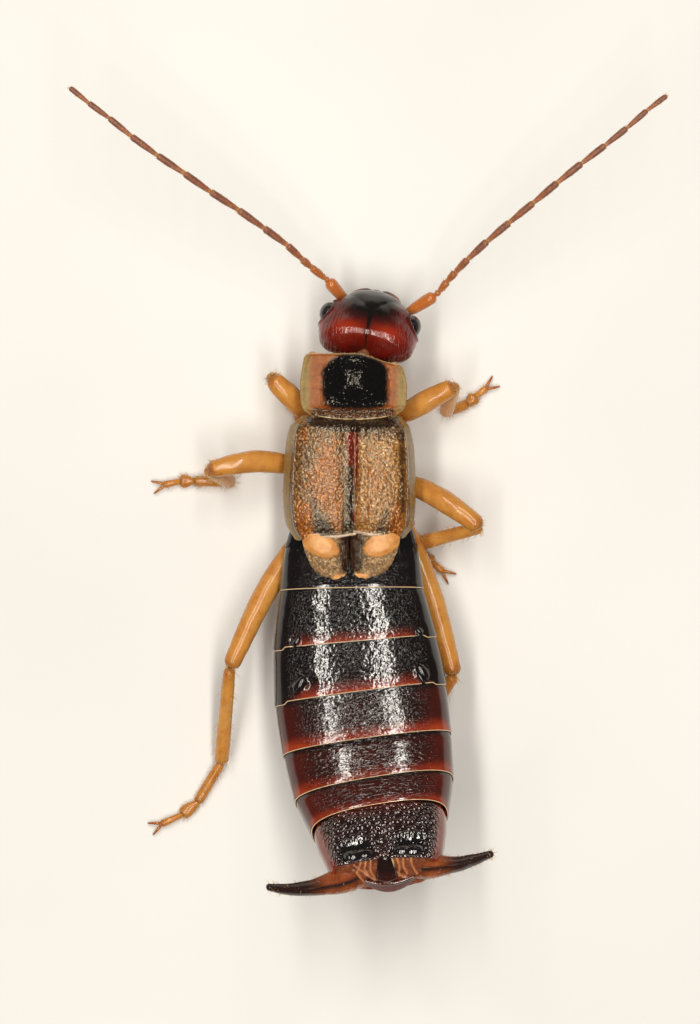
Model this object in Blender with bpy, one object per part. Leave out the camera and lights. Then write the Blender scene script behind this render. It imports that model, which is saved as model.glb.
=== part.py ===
"""A female European earwig at life size, standing with its tail raised and its forceps open.

Metres, +Z up. The animal faces -Y, its own left side is at +X, and the floor is z = 0.
Sizes are written in millimetres. A place is (right, back, up), seen from above with the head at
the top, measured from the middle of the model's box on the floor.
"""

import math
from collections import namedtuple

import bmesh
import bpy
from mathutils import Vector

MM = 0.001

# Gap between one named piece and the next, and the least thickness of legs and feelers
GAP = 0.1
THIN = 0.48

# Points round each kind of section
BODY_SIDES = 24
LIMB_SIDES = 10
THIN_SIDES = 8

# How square a section is, where 2 is an ellipse
BODY_SQUARENESS = 2.3
FLAT_SQUARENESS = 2.6

# Abdomen: each rear margin's length from the one before, pitch up, heading to the right,
# half width, height above and depth below its middle
Margin = namedtuple("Margin", "name length pitch heading half_width rise sag")
ABDOMEN_START = (-0.32, 0.32, 1.50)
ABDOMEN_FRONT = Margin("front", 0.0, 2, 0, 1.10, 0.36, 0.58)
ABDOMEN = (
    Margin("abdomen_1", 0.82, 6, 0, 1.34, 0.42, 0.66),
    Margin("abdomen_2", 0.86, 5, 1, 1.45, 0.66, 0.74),
    Margin("abdomen_3", 1.03, 1, 5, 1.65, 0.75, 0.80),
    Margin("abdomen_4", 1.06, 5, 7.5, 1.74, 0.79, 0.82),
    Margin("abdomen_5", 1.06, 13, 8, 1.71, 0.79, 0.80),
    Margin("abdomen_6", 0.97, 24, 9.5, 1.61, 0.76, 0.78),
    Margin("abdomen_7", 0.77, 38, 9.5, 1.38, 0.70, 0.72),
    Margin("abdomen_10", 1.24, 52, 5, 1.08, 0.34, 0.56),
)
# How wide a plate is along its length, as a share of its rear margin
PLATE_PROFILE = ((0.0, 0.91), (0.12, 0.955), (0.45, 0.99), (1.0, 1.0))
# The last plate: its sides draw in only near the rear
LAST_PROFILE = ((0.0, 0.93), (0.12, 0.97), (0.45, 1.02), (0.8, 1.02), (1.0, 0.97))
# Radii of the glands on the third and fourth plates, and where they sit as shares of the plate's
# length, half width and rise
GLANDS = {"abdomen_3": 0.10, "abdomen_4": 0.15}
GLAND_PLACE = (0.72, 0.90, 0.42)

# Head capsule, before it is turned: middle, turn to the right, nose down, and lean to the left
HEAD_MIDDLE = (0.03, -3.25, 1.38)
HEAD_YAW = 11
HEAD_PITCH = 34
HEAD_ROLL = 3
# Head sections: forward of the middle, half width, rise and sag
HEAD_SECTIONS = (
    (-0.60, 0.60, 0.26, 0.24),
    (-0.53, 0.82, 0.38, 0.34),
    (-0.38, 0.96, 0.47, 0.43),
    (-0.11, 1.01, 0.52, 0.48),
    (0.20, 0.94, 0.51, 0.48),
    (0.48, 0.76, 0.44, 0.44),
    (0.68, 0.55, 0.34, 0.37),
    (0.80, 0.38, 0.22, 0.28),
)
# How far the middle of the head's rear stands behind its lobes, turned round
HEAD_LOBE = 0.08

# Eyes, placed in the head's own directions: forward, left and up
EYE_PLACE = (0.17, 0.87, 0.07)
EYE_RADII = (0.22, 0.15, 0.19)

# Mouthparts in the head's own directions
LABRUM_START = (0.82, 0.0, 0.03)
LABRUM_END = (1.07, 0.0, -0.12)
LABRUM_HALF = (0.30, 0.12)
MANDIBLE_PATH = ((0.66, 0.36, -0.30), (0.92, 0.38, -0.34), (1.12, 0.20, -0.34))
MANDIBLE_RADII = (0.20, 0.19, 0.11)
PALP_PATH = ((0.30, 0.50, -0.52), (0.62, 0.72, -0.48), (0.92, 0.74, -0.40), (1.14, 0.62, -0.32))
PALP_RADII = (0.20, 0.19, 0.17, 0.11)

# Feelers: the scape, and the route of the rest
FEELERS = {
    "left": {
        "scape": ((-0.40, -3.78, 0.78), (-0.80, -4.22, 1.22)),
        "route": ((-0.80, -4.22, 1.22), (-1.61, -4.93, 1.62), (-3.67, -6.35, 2.28), (-5.95, -8.05, 2.72)),
    },
    "right": {
        "scape": ((0.72, -3.58, 1.02), (1.37, -3.93, 1.30)),
        "route": ((1.37, -3.93, 1.30), (2.02, -4.65, 1.66), (3.81, -6.17, 2.28), (5.98, -7.89, 2.72)),
    },
}
FEELER_PARTING = 0.48
FEELER_END_RADII = (THIN / 2, THIN / 2, 0.2, 0.1)

# Pronotum: a shield with straight sides, rounded behind
PRONOTUM_MIDDLE = (-0.28, -2.08, 2.18)
PRONOTUM_HALF = (1.045, 0.66)
PRONOTUM_RISE = 0.26
PRONOTUM_SAG = 0.20
# Along its half length: place, width and height as shares
PRONOTUM_PROFILE = ((-1.0, 0.86, 0.45), (-0.92, 0.93, 0.75), (-0.5, 0.97, 0.98), (0.0, 1.0, 1.0),
                    (0.5, 0.985, 1.0), (0.8, 0.92, 0.85), (0.93, 0.84, 0.65), (1.0, 0.76, 0.45))

# Trunk underneath: back from the box's middle, sideways, up, half width, rise and sag
PROTHORAX = ((-2.86, -0.21, 1.61, 0.46, 0.30, 0.30), (-2.62, -0.24, 1.59, 0.56, 0.36, 0.36),
             (-2.40, -0.26, 1.55, 0.74, 0.44, 0.44), (-1.85, -0.28, 1.51, 0.80, 0.48, 0.50),
             (-1.46, -0.29, 1.51, 0.76, 0.46, 0.48))
THORAX = ((-1.36, -0.30, 1.49, 0.84, 0.46, 0.48), (-1.0, -0.32, 1.49, 1.06, 0.46, 0.56),
          (-0.3, -0.34, 1.49, 1.12, 0.44, 0.60), (0.27, -0.34, 1.50, 1.10, 0.40, 0.58))

# Forewing cases: where they meet, their stations (back, half width, rise) and wall thickness
TEGMEN_SEAM = -0.25
TEGMEN_HEIGHT = 1.57
TEGMEN_STATIONS = {
    "left": ((-1.50, 1.06, 0.80), (-1.26, 1.32, 0.86), (-0.70, 1.41, 0.90), (0.10, 1.45, 0.90),
             (0.62, 1.40, 0.88), (0.94, 1.22, 0.84)),
    "right": ((-1.48, 0.92, 0.80), (-1.26, 1.10, 0.86), (-0.70, 1.20, 0.90), (0.10, 1.22, 0.90),
              (0.66, 1.18, 0.88), (0.88, 1.00, 0.84)),
}
TEGMEN_TOP_THICK = 0.42
TEGMEN_SIDE_THICK = 0.24
TEGMEN_WRAP = 104
TEGMEN_POINTS = 9

# Folded hind wing tips behind the cases: back, inner edge and outer edge
SQUAMA_HEIGHT = 2.20
SQUAMA_HALF_THICK = 0.2
SQUAMA_STATIONS = {
    "left": ((1.06, -0.41, -1.28), (1.30, -0.41, -1.20), (1.55, -0.41, -1.06), (1.74, -0.42, -0.84),
             (1.82, -0.45, -0.68)),
    "right": ((1.00, -0.31, 0.62), (1.25, -0.31, 0.55), (1.52, -0.31, 0.42), (1.72, -0.31, 0.20),
              (1.80, -0.32, 0.02)),
}

# Legs: places of the joints, the femur's bow, and the far ends of the three foot pieces
Leg = namedtuple("Leg", "root hip knee bow ankle foot")
LEGS = {
    "front_left": Leg((-0.72, -1.58, 1.15), (-1.13, -1.46, 0.92), (-1.95, -2.29, 1.42), (0.0, 0.0, 0.1),
                      (-1.58, -1.98, 0.30), ((-1.42, -1.60), (-1.31, -1.42), (-1.12, -1.14))),
    "front_right": Leg((0.14, -1.58, 1.15), (0.52, -1.43, 0.92), (1.75, -2.11, 1.55), (0.0, 0.0, 0.1),
                       (1.59, -1.58, 0.32), ((2.04, -1.76), (2.20, -1.92), (2.42, -2.08))),
    "middle_left": Leg((-0.92, -0.60, 1.0), (-1.36, -0.52, 0.84), (-3.21, -0.41, 1.50), (0.0, -0.12, 0.16),
                       (-2.76, -0.17, 0.30), ((-3.52, -0.20), (-3.80, -0.19), (-4.12, -0.12))),
    "middle_right": Leg((0.26, -0.44, 1.0), (0.72, -0.24, 0.84), (2.29, 0.74, 1.50), (0.04, -0.04, 0.12),
                        (0.93, 1.09, 0.30), ((1.20, 1.36), (1.32, 1.46), (1.54, 1.64))),
    "hind_left": Leg((-0.80, 0.10, 0.98), (-1.14, 0.62, 0.80), (-2.77, 3.57, 1.48), (-0.10, -0.04, 0.06),
                     (-2.95, 5.49, 0.30), ((-3.44, 6.31), (-3.76, 6.56), (-4.18, 6.75))),
    "hind_right": Leg((0.26, 0.10, 0.98), (0.74, 0.60, 0.80), (1.75, 3.72, 1.28), (0.06, 0.0, -0.04),
                      (0.76, 5.18, 0.30), ((0.76, 5.99), (0.80, 6.27), (0.92, 6.66))),
}
COXA_RADII = (0.30, 0.26)
FEMUR_RADII = (0.22, 0.25, 0.24, 0.22)
TIBIA_RADII = (0.21, THIN / 2, THIN / 2, 0.21)
FOOT_RADII = (0.20, 0.21, 0.21, 0.15)
CLAW_LENGTH = 0.3
CLAW_RADII = (0.05, 0.05, 0.02)
CLAW_SIDES = 5
CLAW_SPREAD = 38

# Forceps: centre line and half thickness
FORCEPS = {
    "right": ((0.90, 7.44, 3.03), (1.30, 7.48, 3.32), (1.76, 7.44, 3.62), (2.14, 7.33, 3.96),
              (2.50, 7.20, 4.28)),
    "left": ((-0.12, 7.60, 3.03), (-0.60, 7.79, 3.32), (-1.10, 7.90, 3.62), (-1.58, 7.92, 3.96),
             (-2.02, 7.86, 4.28)),
}
FORCEPS_RADII = (0.29, 0.27, 0.20, 0.14, 0.04)

PYGIDIUM_LENGTH = 0.34
PYGIDIUM_HALF = (0.20, 0.13)

# Colour, roughness and metallic value of each kind of surface
FINISHES = {
    "dark_shell": ((0.045, 0.012, 0.008), 0.28, 0.0),
    "red_shell": ((0.12, 0.022, 0.010), 0.26, 0.0),
    "eye": ((0.008, 0.006, 0.006), 0.12, 0.0),
    "amber": ((0.55, 0.20, 0.045), 0.32, 0.0),
    "horn": ((0.30, 0.085, 0.022), 0.25, 0.0),
    "tan": ((0.36, 0.21, 0.09), 0.42, 0.0),
    "pale": ((0.55, 0.42, 0.22), 0.45, 0.0),
    "feeler": ((0.14, 0.07, 0.04), 0.45, 0.0),
}


# Each piece's mesh grown by the gap, by name
GROWN = {}


def at(place):
    """A place in metres, from millimetres to the right, to the back and up."""
    right, back, up = place
    return Vector((-right, back, up)) * MM


def turned(heading, pitch):
    """Unit vectors sideways, rearward and upward of a body section turned by these degrees."""
    h = math.radians(heading)
    p = math.radians(pitch)
    side = Vector((-math.cos(h), -math.sin(h), 0.0))
    rear = Vector((-math.sin(h) * math.cos(p), math.cos(h) * math.cos(p), math.sin(p)))
    top = Vector((math.sin(h) * math.sin(p), -math.cos(h) * math.sin(p), math.cos(p)))
    return side, rear, top


def mixed(a, b, share):
    """A number or vector part of the way from a to b."""
    return a + (b - a) * share


def signed_power(value, power):
    """A power that keeps the sign of its value."""
    return math.copysign(abs(value) ** power, value)


def oval(middle, side, top, half_width, rise, sag, sides=BODY_SIDES, squareness=BODY_SQUARENESS):
    """Points round a section, with its own height above and depth below its middle."""
    points = []
    for i in range(sides):
        angle = math.tau * i / sides
        across = signed_power(math.cos(angle), 2 / squareness) * half_width
        over = signed_power(math.sin(angle), 2 / squareness)
        over *= rise if over > 0 else sag
        points.append(middle + side * across + top * over)
    return points


def linked(name, mesh):
    """A new object of the scene with this mesh."""
    result = bpy.data.objects.new(name, mesh)
    bpy.context.scene.collection.objects.link(result)
    return result


def solid(name, vertices, faces):
    """A closed object with its faces turned outward, whose grown mesh is kept for cutting others."""
    mesh = bpy.data.meshes.new(name)
    shape = bmesh.new()
    corners = [shape.verts.new(v) for v in vertices]
    for face in faces:
        shape.faces.new([corners[i] for i in face])
    bmesh.ops.recalc_face_normals(shape, faces=shape.faces)
    if shape.calc_volume(signed=True) < 0:
        bmesh.ops.reverse_faces(shape, faces=shape.faces)
    shape.to_mesh(mesh)
    shape.normal_update()
    for vertex in shape.verts:
        vertex.co += vertex.normal * min(vertex.calc_shell_factor(), 1.5) * GAP * MM
    GROWN[name] = bpy.data.meshes.new("grown")
    shape.to_mesh(GROWN[name])
    shape.free()
    return linked(name, mesh)


def loft(name, rings):
    """A closed object over rings with the same number of points, with flat ends."""
    count = len(rings[0])
    vertices = [point for points in rings for point in points]
    faces = [tuple(range(count))]
    for row in range(len(rings) - 1):
        for i in range(count):
            j = (i + 1) % count
            near = row * count
            far = near + count
            faces.append((near + i, near + j, far + j, far + i))
    last = (len(rings) - 1) * count
    faces.append(tuple(range(last, last + count)))
    return solid(name, vertices, faces)


def smooth_route(points, steps):
    """Places along a smooth curve through the points, this many for each stretch between two."""
    ends = [points[0] * 2 - points[1]] + list(points) + [points[-1] * 2 - points[-2]]
    result = []
    for i in range(len(points) - 1):
        a, b, c, d = ends[i:i + 4]
        for step in range(steps):
            t = step / steps
            result.append(0.5 * ((2 * b) + (c - a) * t + (2 * a - 5 * b + 4 * c - d) * t * t
                                 + (3 * b - a - 3 * c + d) * t ** 3))
    result.append(points[-1])
    return result


def spread(values, share):
    """The value at a share of the way along a list of evenly spaced values."""
    place = min(max(share, 0.0), 1.0) * (len(values) - 1)
    i = min(int(place), len(values) - 2)
    return mixed(values[i], values[i + 1], place - i)


def around(side, over, share):
    """The way out from an axis, at a share of the turn round it."""
    return side * math.cos(math.tau * share) + over * math.sin(math.tau * share)


def tube(name, route, radii, sides=LIMB_SIDES, round_ends=(True, True)):
    """A closed tube along a route of places in metres, with radii in millimetres along it."""
    last = len(route) - 1
    stations = [(route[i], route[min(i + 1, last)] - route[max(i - 1, 0)], spread(radii, i / last))
                for i in range(last + 1)]
    if round_ends[0]:
        stations = rounded(stations[0], stations[1]) + stations[1:]
    if round_ends[1]:
        stations = stations[:-1] + rounded(stations[-1], stations[-2])[::-1]
    rings = []
    side = None
    for place, direction, radius in stations:
        direction = direction.normalized()
        if side is None:
            side = direction.cross(Vector((0.0, 0.0, 1.0)))
        side = (side - direction * side.dot(direction)).normalized()
        over = side.cross(direction)
        rings.append([place + around(side, over, i / sides) * radius * MM for i in range(sides)])
    return loft(name, rings)


def rounded(end, after):
    """Stations that close a tube's end as a blunt dome."""
    place, direction, radius = end
    inward = after[0] - place
    reach = min(0.75 * radius * MM, 0.7 * inward.length)
    return [(place + inward.normalized() * reach * depth, direction, radius * width)
            for depth, width in ((0.0, 0.45), (0.33, 0.82), (1.0, 1.0))]


def ball(name, middle, axes, rings=7, sides=12):
    """A closed ellipsoid with three half axes given as vectors."""
    ahead, side, top = axes
    sections = []
    for i in range(rings):
        angle = math.pi * (i + 0.5) / rings
        place = middle - ahead * math.cos(angle)
        sections.append([place + around(side, top, k / sides) * math.sin(angle) for k in range(sides)])
    return loft(name, sections)


def keep_largest(mesh):
    """Drops all but the largest closed surface of a mesh."""
    shape = bmesh.new()
    shape.from_mesh(mesh)
    left = set(shape.verts)
    groups = []
    while left:
        group = set()
        front = [left.pop()]
        while front:
            vertex = front.pop()
            group.add(vertex)
            for edge in vertex.link_edges:
                other = edge.other_vert(vertex)
                if other in left:
                    left.remove(other)
                    front.append(other)
        groups.append(group)
    groups.sort(key=len)
    for group in groups[:-1]:
        bmesh.ops.delete(shape, geom=list(group), context="VERTS")
    bmesh.ops.dissolve_degenerate(shape, dist=1e-7, edges=shape.edges)
    shape.to_mesh(mesh)
    shape.free()


def combine(piece, others, operation):
    """Joins a piece with closed helpers, or cuts it by them, and removes the helpers."""
    group = bpy.data.collections.new("helpers")
    for other in others:
        group.objects.link(other)
    boolean = piece.modifiers.new("Boolean", "BOOLEAN")
    boolean.operation = operation
    boolean.operand_type = "COLLECTION"
    boolean.collection = group
    boolean.solver = "EXACT"
    graph = bpy.context.evaluated_depsgraph_get()
    graph.update()
    mesh = bpy.data.meshes.new_from_object(piece.evaluated_get(graph))
    piece.modifiers.clear()
    keep_largest(mesh)
    before = piece.data
    piece.data = mesh
    bpy.data.meshes.remove(before)
    for other in others:
        bpy.data.objects.remove(other)
    bpy.data.collections.remove(group)
    return piece


def clear_of(piece, *neighbours):
    """Cuts a piece so that it keeps the gap to its neighbours, as they were before any cut."""
    for other in neighbours:
        combine(piece, [linked("helper", GROWN[other.name].copy())], "DIFFERENCE")
    return piece


def finish(piece, kind):
    """Gives a piece its own material and smooth shading."""
    colour, roughness, metallic = FINISHES[kind]
    material = bpy.data.materials.new(piece.name)
    material.use_nodes = True
    surface = material.node_tree.nodes["Principled BSDF"]
    surface.inputs["Base Color"].default_value = (*colour, 1.0)
    surface.inputs["Roughness"].default_value = roughness
    surface.inputs["Metallic"].default_value = metallic
    material.diffuse_color = (*colour, 1.0)
    piece.data.materials.clear()
    piece.data.materials.append(material)
    piece.data.shade_smooth()
    piece.data.set_sharp_from_angle(angle=math.radians(40))
    return piece


def head_axes():
    """Unit vectors forward, left and up of the head as it is held."""
    yaw, pitch, roll = (math.radians(angle) for angle in (HEAD_YAW, HEAD_PITCH, HEAD_ROLL))
    ahead = Vector((-math.sin(yaw), -math.cos(yaw), 0.0))
    left = Vector((math.cos(yaw), -math.sin(yaw), 0.0))
    up = Vector((0.0, 0.0, 1.0))
    forward = ahead * math.cos(pitch) - up * math.sin(pitch)
    raised = up * math.cos(pitch) + ahead * math.sin(pitch)
    aside = left * math.cos(roll) - raised * math.sin(roll)
    over = raised * math.cos(roll) + left * math.sin(roll)
    return forward, aside, over


def on_head(place, side=1):
    """A place in metres from millimetres forward, left and up of the head's middle."""
    forward, left, up = head_axes()
    return at(HEAD_MIDDLE) + (forward * place[0] + left * place[1] * side + up * place[2]) * MM


def build_head():
    """The capsule, with two lobes behind and a hollow for each eye, and the eyes."""
    forward, left, up = head_axes()
    rings = []
    for ahead, half_width, rise, sag in HEAD_SECTIONS:
        points = oval(on_head((ahead, 0, 0)), left * MM, up * MM, half_width, rise, sag)
        behind = max(0.0, ahead / HEAD_SECTIONS[0][0]) ** 2 * HEAD_LOBE
        for point in points:
            share = (point - on_head((ahead, 0, 0))).dot(left) / (half_width * MM)
            point -= forward * behind * MM * (2 * share * share - 1)
        rings.append(points)
    head = loft("head", rings)
    eyes = []
    for name, side in (("left", 1), ("right", -1)):
        axes = [axis * radius * MM for axis, radius in zip((forward, left, up), EYE_RADII)]
        eyes.append(ball("eye_" + name, on_head(EYE_PLACE, side), axes))
    clear_of(head, *eyes)
    finish(head, "dark_shell")
    for eye in eyes:
        finish(eye, "eye")
    return head


def build_mouth(head):
    """Upper lip, jaws and the larger pair of palps."""
    forward, left, up = head_axes()
    half_width, half_height = LABRUM_HALF
    sections = [oval(on_head(mixed_place(LABRUM_START, LABRUM_END, share)), left * MM, up * MM,
                     half_width * width, half_height * width, half_height * width, 14, FLAT_SQUARENESS)
                for share, width in ((-0.2, 1.0), (0.5, 1.0), (0.85, 0.85), (1.0, 0.6))]
    labrum = finish(clear_of(loft("labrum", sections), head), "amber")
    for name, side in (("left", 1), ("right", -1)):
        route = smooth_route([on_head(place, side) for place in MANDIBLE_PATH], 3)
        jaw = clear_of(tube("mandible_" + name, route, MANDIBLE_RADII), head, labrum)
        route = smooth_route([on_head(place, side) for place in PALP_PATH], 3)
        palp = clear_of(tube("palp_" + name, route, PALP_RADII, THIN_SIDES), head, jaw)
        finish(jaw, "horn")
        finish(palp, "amber")


def mixed_place(a, b, share):
    """A place part of the way from a to b."""
    return tuple(mixed(x, y, share) for x, y in zip(a, b))


def build_feelers(head):
    """Each feeler in three lengths: the thick base joint, the near part and the far part."""
    for name, feeler in FEELERS.items():
        route = [at(place) for place in feeler["scape"]]
        scape = tube(f"antenna_{name}_scape", route, (THIN / 2, THIN / 2), THIN_SIDES)
        clear_of(scape, head)
        route = smooth_route([at(place) for place in feeler["route"]], 5)
        parting = round(FEELER_PARTING * (len(route) - 1))
        near = tube(f"antenna_{name}_near", route[:parting + 1], (THIN / 2, THIN / 2), THIN_SIDES,
                    (False, False))
        clear_of(near, scape)
        far = tube(f"antenna_{name}_far", route[parting:], FEELER_END_RADII, THIN_SIDES, (False, True))
        clear_of(far, near)
        finish(scape, "amber")
        finish(near, "feeler")
        finish(far, "feeler")


def stack(name, sections):
    """A closed body over sections square to the animal's length."""
    side, rear, top = turned(0, 0)
    return loft(name, [oval(at((right, back, up)), side * MM, top * MM, half_width, rise, sag)
                       for back, right, up, half_width, rise, sag in sections])


def build_pronotum():
    """The shield behind the head, a little wider in front than behind."""
    side, rear, top = turned(0, 0)
    half_width, half_length = PRONOTUM_HALF
    right, back, up = PRONOTUM_MIDDLE
    rings = [oval(at((right, back + share * half_length, up)), side * MM, top * MM, half_width * width,
                  PRONOTUM_RISE * height, PRONOTUM_SAG * height, squareness=FLAT_SQUARENESS)
             for share, width, height in PRONOTUM_PROFILE]
    return loft("pronotum", rings)


def tegmen_ring(direction, back, half_width, rise):
    """One section of a forewing case, from the seam over the top and down the side."""
    outer = []
    inner = []
    for i in range(TEGMEN_POINTS):
        share = i / (TEGMEN_POINTS - 1)
        angle = math.radians(TEGMEN_WRAP * share)
        across = signed_power(math.sin(angle), 0.72)
        over = signed_power(math.cos(angle), 0.72)
        middle = (TEGMEN_SEAM + direction * GAP / 2, back, TEGMEN_HEIGHT)
        outer.append(at((middle[0] + direction * across * half_width, back, middle[2] + over * rise)))
        inner_width = half_width - TEGMEN_SIDE_THICK
        inner_rise = rise - TEGMEN_TOP_THICK
        inner.append(at((middle[0] + direction * across * inner_width, back, middle[2] + over * inner_rise)))
    return outer + inner[::-1]


def build_wings(pronotum):
    """The two forewing cases and the folded tips of the hind wings behind them."""
    side, rear, top = turned(0, 0)
    cases = []
    for name, direction in (("left", -1), ("right", 1)):
        rings = [tegmen_ring(direction, *station) for station in TEGMEN_STATIONS[name]]
        cases.append(clear_of(loft("tegmen_" + name, rings), pronotum))
    tips = []
    for name in ("left", "right"):
        rings = []
        for back, inner, outer in SQUAMA_STATIONS[name]:
            middle = at(((inner + outer) / 2, back, SQUAMA_HEIGHT))
            rings.append(oval(middle, side * MM, top * MM, abs(outer - inner) / 2,
                              SQUAMA_HALF_THICK, SQUAMA_HALF_THICK, 16, FLAT_SQUARENESS))
        tips.append(clear_of(loft("squama_" + name, rings), *cases))
    for case in cases:
        finish(case, "tan")
    for tip in tips:
        finish(tip, "pale")
    return cases, tips


def margins():
    """Middle, heading and pitch of the abdomen's front and of each rear margin."""
    middle = at(ABDOMEN_START)
    places = [(middle, ABDOMEN_FRONT)]
    for margin in ABDOMEN:
        before = places[-1][1]
        rear = turned((before.heading + margin.heading) / 2, (before.pitch + margin.pitch) / 2)[1]
        middle = middle + rear * margin.length * MM
        places.append((middle, margin))
    return places


def plate_ring(front, behind, share, width):
    """A section of a plate, at a share of the way from the margin in front to its own."""
    middle = mixed(front[0], behind[0], share)
    heading = mixed(front[1].heading, behind[1].heading, share)
    pitch = mixed(front[1].pitch, behind[1].pitch, share)
    side, rear, top = turned(heading, pitch)
    sizes = [mixed(a, b, share) * width * MM for a, b in zip(front[1][4:], behind[1][4:])]
    return oval(middle, side, top, *sizes)


def build_abdomen(covers):
    """Eight rings, each a little narrower where it slides into the one in front."""
    places = margins()
    rings = []
    for front, behind in zip(places, places[1:]):
        name = behind[1].name
        half_gap = GAP / 2 / behind[1].length
        profile = LAST_PROFILE if name == "abdomen_10" else PLATE_PROFILE
        sections = [plate_ring(front, behind, mixed(half_gap, 1 - half_gap, share), width)
                    for share, width in profile]
        ring = loft(name, sections)
        if name in GLANDS:
            combine(ring, glands(front, behind, GLANDS[name]), "UNION")
        rings.append(ring)
    for ring in rings[:2]:
        clear_of(ring, *covers)
    for ring in rings:
        finish(ring, "dark_shell" if ring.name in ("abdomen_1", "abdomen_2", "abdomen_3") else "red_shell")
    return rings


def glands(front, behind, radius):
    """The small raised glands on both flanks of a plate."""
    along, across, over = GLAND_PLACE
    middle = mixed(front[0], behind[0], along)
    side, rear, top = turned(behind[1].heading, behind[1].pitch)
    reach = behind[1].half_width * across * MM
    height = behind[1].rise * over * MM
    return [ball("gland", middle + side * reach * direction + top * height,
                 (rear * radius * 1.5 * MM, side * radius * MM, top * radius * MM), 5, 8)
            for direction in (-1, 1)]


def build_tail(last):
    """The plate between the forceps, and the forceps."""
    middle, margin = margins()[-1]
    side, rear, top = turned(margin.heading, margin.pitch)
    half_width, half_height = PYGIDIUM_HALF
    start = middle + rear * GAP / 2 * MM
    rings = [oval(start + rear * PYGIDIUM_LENGTH * share * MM, side * MM, top * MM,
                  half_width * width, half_height * width, half_height * width, 14, FLAT_SQUARENESS)
             for share, width in ((0.0, 1.0), (0.55, 0.95), (0.85, 0.72), (1.0, 0.4))]
    pygidium = clear_of(loft("pygidium", rings), last)
    for name, places in FORCEPS.items():
        route = smooth_route([at(place) for place in places], 3)
        arm = tube("forceps_" + name, route, FORCEPS_RADII)
        finish(clear_of(arm, last, pygidium), "horn")
    finish(pygidium, "dark_shell")


def flat_footed(piece):
    """Presses whatever would pass the floor flat onto it."""
    for vertex in piece.data.vertices:
        vertex.co.z = max(vertex.co.z, 0.0)
    return piece


def build_claws(toe, direction):
    """Two hooked claws at the end of a foot."""
    claws = []
    aside = Vector((direction.y, -direction.x, 0.0)).normalized()
    for turn in (-1, 1):
        angle = math.radians(CLAW_SPREAD) / 2 * turn
        heading = direction * math.cos(angle) + aside * math.sin(angle)
        start = toe - heading * 0.1 * MM + aside * CLAW_RADII[0] * 1.4 * turn * MM
        route = [start, start + heading * CLAW_LENGTH * 0.6 * MM,
                 start + heading * CLAW_LENGTH * MM - Vector((0, 0, 0.06 * MM))]
        claws.append(tube("claw", route, CLAW_RADII, CLAW_SIDES, (False, False)))
    return claws


def build_leg(name, leg, trunk, near):
    """Hip joint, thigh, shin and foot of one leg, cut clear of each other in turn."""
    coxa = clear_of(tube("coxa_" + name, [at(leg.root), at(leg.hip)], COXA_RADII), *trunk)
    arch = [(a + b) / 2 + c for a, b, c in zip(leg.hip, leg.knee, leg.bow)]
    route = smooth_route([at(leg.hip), at(arch), at(leg.knee)], 4)
    femur = clear_of(tube("femur_" + name, route, FEMUR_RADII), coxa, *near)
    route = [mixed(at(leg.knee), at(leg.ankle), share / 4) for share in range(5)]
    tibia = clear_of(tube("tibia_" + name, route, TIBIA_RADII), femur)
    toes = [at((right, back, FOOT_RADII[1] - 0.02)) for right, back in leg.foot]
    foot = flat_footed(tube("tarsus_" + name, smooth_route([at(leg.ankle)] + toes, 2), FOOT_RADII))
    direction = (toes[2] - toes[1]).normalized()
    combine(foot, build_claws(toes[2] - Vector((0, 0, 0.1 * MM)), direction), "UNION")
    clear_of(foot, tibia)
    for piece in (coxa, femur, tibia, foot):
        finish(piece, "amber")


def main():
    for thing in list(bpy.data.objects):
        bpy.data.objects.remove(thing)
    head = build_head()
    build_mouth(head)
    build_feelers(head)
    pronotum = clear_of(build_pronotum(), head)
    cases, tips = build_wings(pronotum)
    prothorax = clear_of(stack("prothorax", PROTHORAX), pronotum, head)
    thorax = clear_of(stack("thorax", THORAX), *cases)
    rings = build_abdomen(cases + tips)
    build_tail(rings[-1])
    for name, leg in LEGS.items():
        trunk = [prothorax] if name.startswith("front") else [thorax]
        near = rings[:4] if name.startswith("hind") else []
        build_leg(name, leg, trunk, near)
    finish(pronotum, "dark_shell")
    finish(prothorax, "amber")
    finish(thorax, "amber")


main()
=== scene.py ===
"""Looks for a female European earwig at life size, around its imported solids.

Shapes are worked out in millimetres as (right, back, up) with the head at the top, seen from above,
and are turned into metres when a mesh is made. Every surface is its own mesh with node materials.
"""

import math
from collections import namedtuple

import bpy
import numpy as np
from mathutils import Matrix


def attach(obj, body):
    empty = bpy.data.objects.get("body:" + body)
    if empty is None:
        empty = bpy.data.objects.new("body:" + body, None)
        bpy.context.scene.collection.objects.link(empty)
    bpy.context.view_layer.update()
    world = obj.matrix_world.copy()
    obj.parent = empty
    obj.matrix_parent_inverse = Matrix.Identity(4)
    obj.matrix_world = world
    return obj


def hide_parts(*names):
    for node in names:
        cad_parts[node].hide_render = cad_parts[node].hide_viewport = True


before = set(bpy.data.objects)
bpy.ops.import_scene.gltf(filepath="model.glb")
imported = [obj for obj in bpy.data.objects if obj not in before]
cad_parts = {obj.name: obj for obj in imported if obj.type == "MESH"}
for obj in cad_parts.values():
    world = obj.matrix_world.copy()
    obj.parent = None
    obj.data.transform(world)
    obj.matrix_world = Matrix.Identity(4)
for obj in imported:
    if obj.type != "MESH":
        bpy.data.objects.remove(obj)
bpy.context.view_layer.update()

MM = 0.001
RANDOM = np.random.default_rng(41)

# Places, four-cornered faces, triangles and per-point marks of one closed surface
Form = namedtuple("Form", "points quads tris marks")


# Numbers and places

def unit(v):
    """Vectors of length one."""
    return v / np.maximum(np.linalg.norm(v, axis=-1, keepdims=True), 1e-12)


def vectors(*parts):
    """Numbers or grids side by side as vectors."""
    return np.stack(np.broadcast_arrays(*parts), -1)


def power(value, exponent):
    """A power that keeps the sign."""
    return np.sign(value) * np.abs(value) ** exponent


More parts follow.
